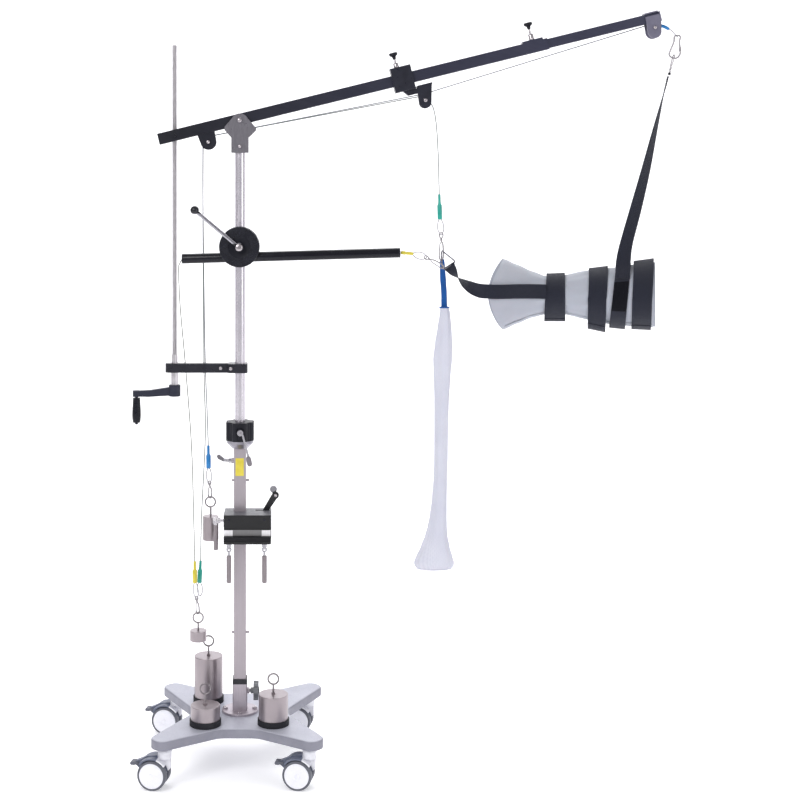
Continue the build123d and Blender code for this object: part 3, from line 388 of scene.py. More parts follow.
def thread_mat():
    m = Mat("rolled_thread")
    z = m.sep()[2]
    zz = m.math("MULTIPLY", z, 1.0)
    co = m.sep()
    ang = m.node("ShaderNodeMath", operation="ARCTAN2")
    m.put(ang.inputs[0], co[1])
    m.put(ang.inputs[1], m.math("ADD", co[0], 0.1736))
    ph = m.math("ADD", m.math("MULTIPLY", zz, 2 * math.pi / 0.003), ang.outputs[0])
    h = m.math("SINE", ph)
    mask = m.math("MULTIPLY", m.ramp(z, 0.9735, 0.974, 0, 1), 1.0)
    blot = m.noise(40, 4)
    # thread valleys blended towards dark grey: painted shade in the grooves
    painted_groove_shade = m.math("MULTIPLY", m.ramp(h, -1, 0.2, 0.75, 0), mask)
    m.set(color=m.mix(painted_groove_shade, m.mix(m.ramp(blot, 0.3, 0.7, 0, 1), srgb(206, 202, 206), srgb(224, 220, 224)), srgb(120, 116, 122)), metal=1.0,
          rough=m.ramp(blot, 0.3, 0.7, 0.26, 0.4))
    m.bump(m.math("MULTIPLY", h, mask), 0.9, 0.0006)
    return m.m


M_THREAD = thread_mat()


def weight_mat(name="plated_weight", ztop=10.0):
    """Turned steel body with fine lathe lines; the eye above ztop is darker bent rod."""
    m = Mat(name)
    st = m.noise(1.0, 3, 0.6, stretch=(40, 40, 1500))
    blot = m.noise(14, 4, 0.55)
    z = m.sep()[2]
    eye = m.ramp(z, ztop - 0.0005, ztop + 0.0005, 0, 1)
    body = m.mix(m.ramp(blot, 0.3, 0.7, 0, 1), srgb(158, 149, 153), srgb(166, 157, 161))
    rod = m.mix(m.ramp(blot, 0.3, 0.7, 0, 1), srgb(128, 122, 126), srgb(146, 140, 143))
    m.set(color=m.mix(eye, body, rod), metal=0.9, rough=m.math("ADD", m.ramp(st, 0.3, 0.7, 0.30, 0.38), m.ramp(blot, 0.3, 0.7, -0.02, 0.03)))
    m.bump(st, 0.10, 0.0002)
    m.bump(m.noise(900, 2), 0.04, 0.0001)
    return m.m


def coat_mat(name, rgb, rough=0.3, painted_reflection_rgb=None):
    """Black powder coat over drawn aluminium: faint drawing lines and fine grain; towards the outer end it blends into
    a paler colour, a painted reflection.
    """
    m = Mat(name)
    vec = m.mapped((1, 1, 1), (0, math.radians(-13.8), 0))
    mp = m.node("ShaderNodeMapping")
    m.put(mp.inputs["Vector"], vec)
    mp.inputs["Scale"].default_value = (8, 500, 500)
    grain = m.noise(1.0, 3, 0.6, vec=mp.outputs["Vector"])
    blot = m.noise(14, 5)
    tone = m.ramp(m.math("ADD", m.math("MULTIPLY", grain, 0.5), m.math("MULTIPLY", blot, 0.5)), 0.35, 0.65, 0, 1)
    # blend along x towards the outer end: painted reflection
    along = m.ramp(m.sep()[0], -0.17, 1.08, 0, 1)
    painted_reflection_rgb = painted_reflection_rgb or rgb
    base = m.mix(along, m.mix(tone, srgb(*[max(0, c - 3) for c in rgb]), srgb(*[c + 4 for c in rgb])), m.mix(tone, srgb(*[max(0, c - 3) for c in painted_reflection_rgb]), srgb(*[c + 4 for c in painted_reflection_rgb])))
    m.set(color=base, spec=0.3, rough=m.math("ADD", m.ramp(grain, 0.3, 0.7, rough - 0.04, rough + 0.05), m.ramp(blot, 0.3, 0.7, -0.03, 0.05)))
    m.bump(m.noise(1400, 2), 0.10, 0.0002)
    m.bump(grain, 0.05, 0.0002)
    return m.m


# the second colour is a painted reflection that brightens the coat towards the outer end
M_BOOM = coat_mat("boom_coating", (20, 21, 30), 0.36, (60, 61, 80))
M_EXT = coat_mat("extension_coating", (22, 23, 32), 0.34, (58, 59, 77))
M_TUBE = coat_mat("tube_coating", (14, 14, 24), 0.22)


def rope_mat(name, rgb):
    """Stranded wire line under a clear tinted skin."""
    m = Mat(name)
    w1 = m.wave(420, "DIAGONAL", vec=m.mapped((1, 1, 1)))
    w2 = m.wave(1400, "DIAGONAL", vec=m.mapped((1, 1, 1)))
    br = m.math("ADD", m.math("MULTIPLY", w1, 0.75), m.math("MULTIPLY", w2, 0.25))
    m.set(color=m.mix(m.ramp(br, 0.15, 0.8, 0, 1), srgb(*[int(c * 0.6) for c in rgb]), srgb(*rgb)), metal=0.35, rough=0.42, spec=0.5, coat=0.2)
    m.bump(br, 0.6, 0.0004)
    return m.m


M_ROPE_B = rope_mat("wire_line_blue", (138, 142, 150))
M_ROPE_G = rope_mat("wire_line_green", (138, 145, 142))
M_ROPE_Y = rope_mat("wire_line_yellow", (146, 146, 138))


def ferrule_mat(name, rgb):
    m = Mat(name)
    z = m.sep()[2]
    band = m.wave(170, "Z")
    m.set(color=m.mix(m.ramp(m.noise(60, 4), 0.3, 0.7, 0, 1), srgb(*[int(c * 0.9) for c in rgb]), srgb(*rgb)), rough=0.34, spec=0.5, coat=0.25, coat_rough=0.2)
    m.bump(band, 0.12, 0.0003)
    m.bump(m.noise(700, 2), 0.06, 0.0002)
    return m.m


M_F_BLUE = ferrule_mat("ferrule_blue", (26, 128, 200))
M_F_GREEN = ferrule_mat("ferrule_teal", (30, 166, 150))
M_F_YELLOW = ferrule_mat("ferrule_yellow", (222, 206, 66))


def weave_mat(name, rgb, pitch=0.0011, rough=0.85, sheen=0.3, strength=0.6, var=0.14):
    """Plain weave built from two crossed thread waves with soft colour variation."""
    m = Mat(name)
    k = 2 * math.pi / pitch
    co = m.sep()
    diag = m.math("ADD", co[0], m.math("MULTIPLY", co[1], 0.7))
    a = m.math("SINE", m.math("MULTIPLY", diag, k))
    c = m.math("SINE", m.math("MULTIPLY", m.math("ADD", co[2], m.math("MULTIPLY", co[1], 0.35)), k))
    w = m.math("MULTIPLY", a, c)
    fuzz = m.noise(1800, 3, 0.7)
    big = m.noise(18, 5, 0.6)
    col = m.mix(m.ramp(w, -1, 1, 0, 1), srgb(*[int(v * (1 - var)) for v in rgb]), srgb(*rgb))
    col = m.mix(m.ramp(big, 0.3, 0.75, 0, 0.35), col, srgb(*[int(v * 0.86) for v in rgb]))
    m.set(color=col, rough=rough, sheen=sheen, sheen_rough=0.5, spec=0.25)
    m.bump(w, strength, 0.0004)
    m.bump(fuzz, 0.25, 0.0003)
    return m.m


M_STRAP = weave_mat("strap_webbing", (37, 40, 57), 0.0016, 0.8, 0.16, 0.8, 0.35)
M_PATCH = Mat("hook_and_loop")
_m = M_PATCH
_m.set(color=_m.mix(_m.ramp(_m.noise(1500, 4), 0.35, 0.7, 0, 1), srgb(9, 9, 15), srgb(22, 23, 32)), rough=0.95, sheen=0.1, spec=0.1)
_m.bump(_m.noise(2400, 4, 0.8), 0.9, 0.0009)
M_PATCH = _m.m
M_THREADL = plastic_mat("sewing_thread", (60, 63, 80), 0.6)


def mask_box(m, lo, hi, soft=0.0002):
    """1 inside the box (row-frame metres)."""
    co = m.sep()
    out = None
    for i in range(3):
        if lo[i] is None:
            continue
        a = m.ramp(co[i], lo[i] - soft, lo[i] + soft, 0, 1)
        c = m.ramp(co[i], hi[i] - soft, hi[i] + soft, 1, 0)
        ab = m.math("MULTIPLY", a, c)
        out = ab if out is None else m.math("MULTIPLY", out, ab)
    return out


def two_tone(name, maker_a, maker_b, mask):
    """A surface that is one finish inside a mask and another outside. makers return (color, metal, rough) sockets."""
    m = Mat(name)
    k = mask(m)
    ca, ma, ra = maker_a(m)
    cb, mb, rb = maker_b(m)
    m.set(color=m.mix(k, cb, ca), metal=m.mixf(k, mb, ma), rough=m.mixf(k, rb, ra))
    m.bump(m.noise(700, 3), 0.10, 0.0003)
    return m.m


def f_paint(rgb, rough=0.34):
    return lambda m: (m.mix(m.ramp(m.noise(40, 4), 0.3, 0.7, 0, 1), srgb(*[max(0, c - 5) for c in rgb]), srgb(*[min(255, c + 6) for c in rgb])), 0.0, m.ramp(m.noise(90, 4), 0.3, 0.7, rough - 0.05, rough + 0.08))


def f_satin(rgb, metal=0.7, rough=0.4):
    return lambda m: (m.mix(m.ramp(m.noise(1.0, 3, 0.6, stretch=(400, 400, 40)), 0.35, 0.65, 0, 1), srgb(*[max(0, c - 8) for c in rgb]), srgb(*rgb)), metal, m.ramp(m.noise(70, 4), 0.3, 0.7, rough - 0.04, rough + 0.06))


def f_block(rgb, top):
    """Black coated block whose upward faces catch the light."""
    def make(m):
        up_ = m.math("MULTIPLY", m.ramp(m.sep(m.node("ShaderNodeNewGeometry").outputs["Normal"])[2], 0.7, 0.95, 0, 1), m.ramp(m.sep()[2], 0.53, 0.532, 0, 1))
        n_ = m.ramp(m.noise(40, 4), 0.3, 0.7, 0, 1)
        return (m.mix(up_, m.mix(n_, srgb(*[max(0, c - 3) for c in rgb]), srgb(*[c + 3 for c in rgb])), m.mix(n_, srgb(*[c - 4 for c in top]), srgb(*top))), 0.0, m.ramp(m.noise(90, 4), 0.3, 0.7, 0.34, 0.46))
    return make


def f_steel(rgb, rough=0.24):
    return lambda m: (m.mix(m.ramp(m.noise(1.0, 3, 0.6, stretch=(300, 300, 60)), 0.35, 0.65, 0, 1), srgb(*[max(0, c - 14) for c in rgb]), srgb(*rgb)), 1.0, m.ramp(m.noise(70, 4), 0.3, 0.7, rough - 0.05, rough + 0.08))


# ------------------------------------------------------------------ finishes of the CAD nodes
def finish_node(name, mat, bevel=0.0004):
    o = NODES[name]
    paint(o, mat)
    for p in o.data.polygons:
        p.use_smooth = True
    if hasattr(o.data, "set_sharp_from_angle"):
        o.data.set_sharp_from_angle(angle=math.radians(30))
    return o


CT = ["front_left", "front_right", "rear_left", "rear_right"]
CXY = {"front_left": (-183, -190), "front_right": (183, -190), "rear_left": (-183, 190), "rear_right": (183, 190)}
CS = math.radians(-12.0)
CB, SB = math.cos(CS), math.sin(CS)

finish_node("base_plate", M_BASE)
finish_node("weight_cups", M_RUBBER)
M_SOCKET = two_tone("socket_finish", f_paint(BLACK), f_satin((190, 182, 190)), lambda m: mask_box(m, (None, None, 0.104), (None, None, 0.2)))
finish_node("pole_socket", M_SOCKET)
M_POLE_ALL = two_tone("pole_and_seat", lambda m: (m.mix(m.ramp(m.noise(50, 4), 0.3, 0.7, 0, 1), srgb(150, 148, 158), srgb(176, 173, 182)), 1.0, m.ramp(m.noise(60, 4), 0.3, 0.7, 0.26, 0.36)),
                      lambda m: (m.mix(m.ramp(m.noise(1.0, 3, 0.6, stretch=(500, 500, 7)), 0.3, 0.7, 0, 1), srgb(168, 160, 166), srgb(176, 168, 174)), 0.55, m.ramp(m.noise(1.0, 4, 0.6, stretch=(30, 30, 5)), 0.3, 0.7, 0.34, 0.40)),
                      lambda m: mask_box(m, (None, None, 0.7262), (None, None, 0.9)))
finish_node("lower_pole", M_POLE_ALL)
finish_node("socket_knob", plastic_mat("star_knob_moulding", (112, 114, 119), 0.4))


def hood_mask(m, t):
    """1 on the pale stem housing, 0 on the slate cover round the wheels."""
    co = m.sep()
    dx = m.math("SUBTRACT", co[0], CXY[t][0] / 1000 - 0.028 * CB)
    dy = m.math("SUBTRACT", co[1], CXY[t][1] / 1000 - 0.028 * SB)
    a = m.math("ADD", m.math("MULTIPLY", dx, CB), m.math("MULTIPLY", dy, SB))
    z = m.math("SUBTRACT", co[2], -0.0625)
    r = m.math("SQRT", m.math("ADD", m.math("MULTIPLY", a, a), m.math("MULTIPLY", z, z)))
    side = m.math("MULTIPLY", m.ramp(r, 0.0392, 0.0398, 0, 1), m.ramp(a, 0.0125, 0.0131, 0, 1))
    stem = mask_box(m, (CXY[t][0] / 1000 - 0.0175, CXY[t][1] / 1000 - 0.0175, -0.0215), (CXY[t][0] / 1000 + 0.0175, CXY[t][1] / 1000 + 0.0175, 0.02))
    return m.math("MAXIMUM", side, stem)


for t in CT:
    finish_node("caster_hood_" + t, two_tone("caster_hood_finish_" + t, f_paint((226, 226, 233), 0.3), f_paint((98, 104, 124), 0.38),
                                             lambda m, t=t: hood_mask(m, t)))

    def wheel(m, t=t):
        co = m.sep()
        wx, wy = CXY[t][0] / 1000 - 0.028 * CB, CXY[t][1] / 1000 - 0.028 * SB
        dx = m.math("SUBTRACT", co[0], wx)
        dy = m.math("SUBTRACT", co[1], wy)
        a = m.math("ADD", m.math("MULTIPLY", dx, CB), m.math("MULTIPLY", dy, SB))
        z = m.math("SUBTRACT", co[2], -0.0625)
        r = m.math("SQRT", m.math("ADD", m.math("MULTIPLY", a, a), m.math("MULTIPLY", z, z)))
        return m.ramp(r, 0.0312, 0.0318, 0, 1)

    finish_node("caster_wheels_" + t, two_tone("wheel_finish_" + t, f_paint((96, 98, 108), 0.55), f_paint((240, 240, 247), 0.3), wheel))
    finish_node("caster_brake_" + t, M_GREY)
finish_node("rail_clamp_body", two_tone("clamp_finish", f_satin((246, 244, 247), 0.1), f_block((6, 6, 10), (100, 100, 106)),
                                        lambda m: mask_box(m, (None, -0.0495, 0.5034), (None, -0.0471, 0.5186))))
finish_node("clamp_jaw", paint_mat("jaw_paint", (14, 13, 19), 0.36))
for s in ("jaw_screw_left", "jaw_screw_right"):
    finish_node(s, two_tone(s + "_finish", f_satin((144, 136, 140), 0.5), f_steel((182, 180, 186)), lambda m: mask_box(m, (None, None, 0.3), (None, None, 0.4542))))
finish_node("side_screw", two_tone("side_screw_finish", f_satin((144, 136, 140), 0.5), f_steel((206, 203, 207)), lambda m: mask_box(m, (None, None, 0.4), (None, None, 0.531))))
finish_node("release_lever", two_tone("release_finish", f_paint((132, 131, 138), 0.36), f_paint((12, 12, 18), 0.34), lambda m: m.ramp(m.math("SUBTRACT", m.sep()[2], m.math("MULTIPLY", m.sep()[0], 0.55)), 0.5615, 0.5622, 0, 1)))
finish_node("mast_bush", M_GREY)
finish_node("mast_tube", M_MAST)
finish_node("screw_bracket", two_tone("bracket_finish", f_steel((200, 196, 200)), f_paint((22, 23, 34), 0.3),
                                      lambda m: m.math("MAXIMUM", mask_box(m, (-0.0555, -0.02, 0.9333), (-0.0465, -0.01215, 0.9427)), mask_box(m, (-0.0285, -0.03, 0.9333), (-0.0195, -0.02015, 0.9427)))))
finish_node("mast_yoke", two_tone("yoke_finish", f_steel((186, 182, 190)), f_paint((26, 27, 38), 0.33),
                                  lambda m: mask_box(m, (None, -0.03, 1.4), (None, -0.02155, 1.7))))
finish_node("collet_nut", M_BLACK)
finish_node("collet_lever", two_tone("collet_lever_finish", f_satin((138, 133, 139), 0.6), f_steel((190, 188, 194)), lambda m: mask_box(m, (None, None, 0.6), (None, None, 0.7125))))
finish_node("side_lever", two_tone("side_lever_finish", f_satin((122, 119, 125), 0.6), f_steel((186, 184, 190)), lambda m: mask_box(m, (-0.07, None, 0.6), (-0.043, None, 0.8))))
finish_node("leadscrew", M_THREAD)
finish_node("crank_arm", paint_mat("crank_paint", (42, 44, 58), 0.36))
finish_node("crank_grip", plastic_mat("grip_moulding", (16, 17, 26), 0.3))
finish_node("lead_nut", M_STEEL)
finish_node("boom_tube", M_BOOM)
for s in ("rear_sheaves", "mid_sheave", "end_sheave"):
    finish_node(s, plastic_mat(s + "_nylon", (52, 54, 64), 0.34))
finish_node("boom_extension", M_EXT)
finish_node("end_fork", two_tone("end_fork_finish", f_steel((190, 186, 194)), f_paint((108, 106, 124), 0.34), lambda m: m.ramp(m.sep()[1], -0.01645, -0.01625, 1, 0)))
for s in ("extension_plunger", "carriage_plunger"):
    finish_node(s, M_BLACK)
finish_node("carriage_collar", two_tone("carriage_finish", f_steel((190, 186, 192)), f_paint((26, 27, 40), 0.32), lambda m: m.math("MULTIPLY", m.ramp(m.sep()[1], -0.0123, -0.0121, 1, 0), m.ramp(m.sep()[2], 1.664, 1.6645, 1, 0))))
finish_node("cross_clamp", M_BLACKP)
finish_node("clamp_disc", two_tone("disc_finish", f_steel((196, 193, 200)), f_paint((17, 18, 29), 0.26), lambda m: m.ramp(m.sep()[1], -0.0251, -0.0249, 0, 1)))
finish_node("clamp_lever", two_tone("lever_finish", f_paint((20, 21, 31), 0.2), f_steel((178, 176, 184)), lambda m: m.math("MAXIMUM", m.ramp(m.sep()[2], 1.3495, 1.350, 0, 1), m.ramp(m.sep()[2], 1.2705, 1.271, 1, 0))))
finish_node("cross_tube", M_TUBE)
for s in ("weight_small", "weight_medium", "weight_large", "hung_weight_large", "hung_weight_small"):
    finish_node(s, weight_mat("plated_" + s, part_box(s)[1][2] - 0.0497))

# ------------------------------------------------------------------ hardware details
A0 = math.radians(13.8)
CA, SA = math.cos(A0), math.sin(A0)
PIV = Vector((0, 0, 1.597))
UD = Vector((CA, 0, SA))
VD = Vector((-SA, 0, CA))


def boom(u, v, y=0.0):
    return PIV + UD * (u / 1000) + VD * (v / 1000) + Vector((0, y / 1000, 0))


def to_boom(x, h):
    z = h - 1697.0
    return (x * CA + z * SA, -x * SA + z * CA)


def hex_bolt(name, origin, axis, body, r=4.5, l=3.0, mat=None):
    """Button head with a hex socket, standing l proud of origin."""
    mat = mat or M_STEELX
    prof = [(-0.6, r), (l * 0.45, r), (l * 0.8, r * 0.82), (l, r * 0.52), (l, r * 0.36), (l * 0.35, r * 0.36)]
    return lathe(name, prof, origin, axis, mat, body, 24)


def washer(name, origin, axis, body, r, l, mat):
    return lathe(name, [(-0.3, r), (l, r)], origin, axis, mat, body, 28)


# flange bolts of the socket
for i in range(4):
    a = math.radians(90 * i)
    hex_bolt(f"flange_bolt_{i}", P(39 * math.cos(a), 39 * math.sin(a), 137.8), (0, 0, 1), "stand", 6.0, 1.6)
# dished ring moulded in each wheel cover and its hub cap
for t in CT:
    cx, cy = CXY[t]
    wx, wy = cx - 28 * CB, cy - 28 * SB
    for sgn in (-1, 1):
        o = Vector(((wx - SB * sgn * 27.0) / 1000, (wy + CB * sgn * 27.0) / 1000, -0.0625))
        n = Vector((-SB * sgn, CB * sgn, 0))
        lathe(f"wheel_cap_{t}_{'o' if sgn > 0 else 'i'}", [(-0.5, 30.6), (0.3, 30.6), (1.0, 28.5), (1.6, 22), (1.9, 14), (2.0, 9.2), (1.5, 8.6), (1.4, 5.5), (2.2, 5.0), (2.4, 1.0)], o, n,
              plastic_mat(f"wheel_cap_finish_{t}_{'o' if sgn > 0 else 'i'}", (240, 240, 248), 0.3, 0.6, 0.2), "wheels_" + t, 48)
    lathe("stem_collar_" + t, [(0, 17.6), (1.2, 18.4), (5, 18.4), (6.2, 17.6)], P(cx, cy, 94), (0, 0, 1), plastic_mat("stem_collar_finish_" + t, (214, 214, 222), 0.34), "caster_" + t, 36)
# screws: boom pivot, yoke, forks
hex_bolt("pivot_bolt_face", P(0, -25.2, 1694), (0, -1, 0), "mast", 5.2, 2.0)
hex_bolt("yoke_bolt_face", P(0, -24.8, 1625), (0, -1, 0), "mast", 4.2, 1.6)
hex_bolt("bracket_bolt_a", P(-51, -14.0, 1038), (0, -1, 0), "mast", 4.0, 1.4)
hex_bolt("bracket_bolt_b", P(-24, -22.0, 1038), (0, -1, 0), "mast", 4.4, 1.4)
hex_bolt("mid_fork_bolt", P(491, -15.6, 1747), (0, -1, 0), "carriage", 4.4, 1.8)
hex_bolt("end_fork_bolt", P(1097, -19.8, 1939), (0, -1, 0), "extension", 4.2, 1.8)
hex_bolt("rear_fork_bolt", P(-83.5, -16.6, 1636.5), (0, -1, 0), "boom", 4.6, 1.8)
hex_bolt("release_bolt", P(94, -5.8, 700), (0, -1, 0), "release_lever", 4.2, 1.8)
lathe("collet_pin_head", [(-1, 3.2), (1.5, 3.2), (2.2, 2.2)], P(2, -46.0, 872), (0, -1, 0), M_STEEL, "collet_lever", 24)
# index plunger barrels in bright steel
PLU = to_boom(774.0, 1697 + 774.0 * math.tan(A0) + 20.0)[0]
CARU = to_boom(431.0, 1697 + 431.0 * math.tan(A0))[0]
lathe("extension_plunger_barrel", [(0, 7.0), (2, 7.4), (4, 6.9), (14, 6.9), (15.6, 6.0)], boom(PLU, 20.1), VD, M_STEELX, "boom", 32)
lathe("carriage_plunger_barrel", [(0, 7.0), (2, 7.4), (4, 6.9), (10, 6.9), (11.6, 6.0)], boom(CARU - 8, 34.1), VD, M_STEELX, "carriage", 32)
lathe("extension_plunger_nut", [(0, 8.2), (3.2, 8.2)], boom(PLU, 20.1), VD, M_STEELX, "boom", 6)
lathe("carriage_plunger_nut", [(0, 8.2), (3.2, 8.2)], boom(CARU - 8, 34.1), VD, M_STEELX, "carriage", 6)
KNOB = [(0, 3.2), (0.8, 3.6), (2.5, 4.4), (6.5, 5.0), (9.0, 7.0), (11.0, 10.2), (12.0, 11.3), (16.8, 11.3), (18.2, 10.4), (18.8, 8.4), (19.0, 3.0)]
for nm, u_, v_, body_ in (("extension_plunger", PLU, 48.6, "extension_plunger"), ("carriage_plunger", CARU - 8, 56.0, "carriage_plunger")):
    o = lathe(nm + "_knob", KNOB, boom(u_, v_), VD, M_BLACK, body_, 40)
    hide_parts(nm)
    lathe(nm + "_stem", [(-24, 2.6), (1.5, 2.6)], boom(u_, v_), VD, M_STEELX, body_, 24)
# plain yellow tag on the pole
tagp = []
for (x, h) in ((-11.5, 754), (10.5, 754), (10.5, 801), (-11.5, 801)):
    tagp.append(P(x, -16.12, h))
o = mesh_object("pole_tag", tagp + [q + Vector((0, 0.00025, 0)) for q in tagp], [(0, 1, 2, 3), (7, 6, 5, 4), (0, 4, 5, 1), (1, 5, 6, 2), (2, 6, 7, 3), (3, 7, 4, 0)], False)
mt = Mat("plain_yellow_tag")
mt.set(color=mt.mix(mt.ramp(mt.noise(60, 4), 0.3, 0.7, 0, 1), srgb(214, 196, 60), srgb(226, 210, 84)), rough=mt.ramp(mt.noise(200, 3), 0.3, 0.7, 0.35, 0.5), spec=0.4)
mt.bump(mt.noise(300, 3), 0.1, 0.0002)
paint(o, mt.m)
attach(o, "stand")
# screws on the clamp block, disc rim and knob caps
for i, (x, h) in enumerate(((-27, 648), (66, 648))):
    hex_bolt(f"clamp_block_bolt_{i}", P(x, -60.9, h), (0, -1, 0), "rail_clamp", 3.4, 1.2, M_BLACKP)
lathe("disc_face_ring", [(-0.2, 30), (0.7, 30), (0.9, 28.6), (0.2, 28.2)], P(0, -60.0, 1361), (0, -1, 0), M_BLACKP, "clamp_disc", 56)
lathe("lever_hub_cap", [(-0.5, 9.5), (1.2, 9.3), (2.4, 7.0), (2.9, 3.0)], P(0, -77.0, 1361), (0, -1, 0), M_STEELX, "clamp_lever", 32)
lathe("knob_cap", [(-0.5, 9), (0.8, 9), (1.8, 7), (2.2, 3)], P(49.0, 0, 182), (1, 0, 0), M_BLACK, "socket_knob", 32)


# ------------------------------------------------------------------ hooks, rings and ferrules
def oval(cx, cy, h, hw, hh, tilt=0.0, n=28, p=1.0):
    """Closed oval in the XZ plane."""
    out = []
    ct, st = math.cos(tilt), math.sin(tilt)
    for k in range(n):
        a = 2 * math.pi * k / n
        x = hw * math.copysign(abs(math.cos(a)) ** p, math.cos(a))
        z = hh * math.copysign(abs(math.sin(a)) ** p, math.sin(a))
        out.append(P(cx + x * ct + z * st, cy, h - x * st + z * ct))
    return out


def ferrule(name, top, bottom, mat, body, r0=3.4, r1=6.3):
    """Tapered plastic sleeve over the line's eye splice, narrow at the top."""
    top, bottom = Vector(top), Vector(bottom)
    d = (bottom - top).length * 1000
    prof = [(0, r0 * 0.75), (1.0, r0), (d * 0.36, r0 * 1.1), (d * 0.41, r1 * 0.8), (d * 0.45, r1), (d - 2.5, r1), (d - 0.7, r1 * 0.88), (d, r1 * 0.6)]
    return lathe(name, prof, top, bottom - top, mat, body, 28)


def snap_hook(name, top, bottom, mat, body, w=6.0, wire=2.0):
    """Long snap hook: eye at the top, swivel barrel, body with its gate, closed nose at the bottom."""
    top, bottom = Vector(top), Vector(bottom)
    ax = (bottom - top).normalized()
    L = (bottom - top).length
    side = Vector((ax.z, 0, -ax.x)).normalized() if abs(ax.y) < 0.9 else Vector((1, 0, 0))

    def q(s, t):
        return top + ax * (s * L) + side * (t / 1000)
    eye = [q(0.10 - 0.10 * math.cos(a), w * 0.72 * math.sin(a)) for a in [2 * math.pi * k / 20 for k in range(20)]]
    tube(name + "_eye", eye, wire / 1000 * 0.85, mat, body, 8, True)
    d = L * 1000
    lathe(name + "_swivel", [(0, 2.0), (0.6, 2.8), (d * 0.10, 2.8), (d * 0.12, 2.0)], q(0.19, 0), ax, mat, body, 20)
    loop = [q(0.31, 0), q(0.38, -w * 0.5), q(0.5, -w * 0.72), q(0.72, -w * 0.8), q(0.88, -w * 0.74), q(0.97, -w * 0.36), q(1.0, 0), q(0.97, w * 0.4), q(0.9, w * 0.72), q(0.83, w * 0.8)]
    tube(name + "_hook", catmull(loop, 5), wire / 1000, mat, body, 10)
    gate = [q(0.84, w * 0.72), q(0.62, w * 0.62), q(0.42, w * 0.46), q(0.35, w * 0.2)]
    tube(name + "_gate", catmull(gate, 4), wire / 1000 * 0.7, mat, body, 8)


def eye_loop(name, a, b, w, mat, body, r=1.5):
    """Doubled line forming an eye between two points."""
    a, b = Vector(a), Vector(b)
    ax = (b - a)
    side = Vector((ax.z, 0, -ax.x)).normalized()
    pts = [a, a + ax * 0.3 + side * (w * 0.45 / 1000), a + ax * 0.7 + side * (w * 0.5 / 1000), b, a + ax * 0.7 - side * (w * 0.5 / 1000), a + ax * 0.3 - side * (w * 0.45 / 1000)]
    n = len(pts)
    out = []
    for i in range(n):
        p0, p1, p2, p3 = pts[i - 1], pts[i], pts[(i + 1) % n], pts[(i + 2) % n]
        for k in range(6):
            t = k / 6
            out.append(0.5 * ((2 * p1) + (p2 - p0) * t + (2 * p0 - 5 * p1 + 4 * p2 - p3) * t * t + (3 * p1 - p0 - 3 * p2 + p3) * t ** 3))
    tube(name, out, r / 1000, mat, body, 8, True)


LB, YY = 20.0, 3.0
LINE_W = 1.3
# rear lines
first = tube("rear_line_blue", catmull([P(-98.2, -4.9, 1636), P(-98.5, -2, 1500), P(-95.5, 9, 1200), P(-93, 15, 1040), P(-88.6, 18.5, 920), P(-85.5, LB, 826)], 14), LINE_W / 1000, M_ROPE_B, "rear_drop", 8)
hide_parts("rear_lines")
tube("rear_line_green", catmull([P(-98.2, 4.9, 1636), P(-99, 9, 1400), P(-97, 18.6, 1040), P(-93.5, 20, 860), P(-103.5, LB, 640), P(-106, LB, 519)], 14), LINE_W / 1000, M_ROPE_G, "rear_drop", 8)
ferrule("rear_ferrule_blue", P(-85.4, LB, 828), P(-84.6, LB, 767), M_F_BLUE, "rear_drop")
eye_loop("rear_eye_blue", P(-84.6, LB, 769), P(-82.5, LB, 727), 13, M_WIRE, "rear_drop")
snap_hook("rear_hook_blue", P(-82.6, LB, 733), P(-80.5, LB, 688), M_STEEL, "rear_drop", 5.5)
ferrule("rear_ferrule_green", P(-106, LB, 521), P(-109, LB, 462), M_F_GREEN, "rear_drop")
eye_loop("rear_eye_green", P(-109, LB, 465), P(-107, LB, 427), 13, M_WIRE, "rear_drop")
# cross line at the rear mouth of the tube
yl = tube("cross_line_rear", catmull([P(-146, -38, 1329.6), P(-151, -38, 1327.5), P(-157.5, -36, 1316), P(-160.5, -32, 1298), P(-158, -10, 1200), P(-146, 15.6, 1040), P(-130, 14, 830), P(-123, 6, 620), P(-120.5, YY, 521)], 12), LINE_W / 1000, M_ROPE_Y, "yellow_drop", 8)
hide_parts("yellow_line")
ferrule("rear_ferrule_yellow", P(-120.4, YY, 524), P(-120, YY, 466), M_F_YELLOW, "yellow_drop")
eye_loop("rear_eye_yellow", P(-120, YY, 469), P(-115.5, YY, 424), 12, M_WIRE, "yellow_drop")
snap_hook("rear_hook_yellow", P(-116, YY, 430), P(-112, YY, 384), M_STEEL, "yellow_drop", 5.5)
# tube mouths: dark guide plugs
TX0, TH0, TX1, TH1 = -149.0, 1329.5, 420.0, 1345.3
TD = (P(TX1, -38, TH1) - P(TX0, -38, TH0)).normalized()
TL = (P(TX1, -38, TH1) - P(TX0, -38, TH0)).length * 1000
_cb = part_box("cross_tube")
TR = min(13.4, (_cb[1][1] - _cb[0][1]) * 500)
shell = lathe("cross_tube_shell", [(0, TR - 0.7), (0.7, TR), (TL - 0.7, TR), (TL, TR - 0.7)], P(TX0, -38, TH0), TD, M_TUBE, "cross_tube", 64)
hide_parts("cross_tube")
lathe("tube_plug_front", [(-1, 12.9), (2.0, 13.2), (3.4, 12.0), (3.8, 6.0)], P(TX1, -38, TH1) - TD * 0.001, TD, M_BLACK, "cross_tube", 36)
lathe("tube_plug_rear", [(-1, 12.9), (2.0, 13.2), (3.4, 12.0), (3.8, 6.0)], P(TX0, -38, TH0) + TD * 0.001, -TD, M_BLACK, "cross_tube", 36)
ferrule("front_ferrule_yellow", P(424, -38, 1345.6), P(457, -38, 1342.5), M_F_YELLOW, "cross_tube", 4.6, 4.2)
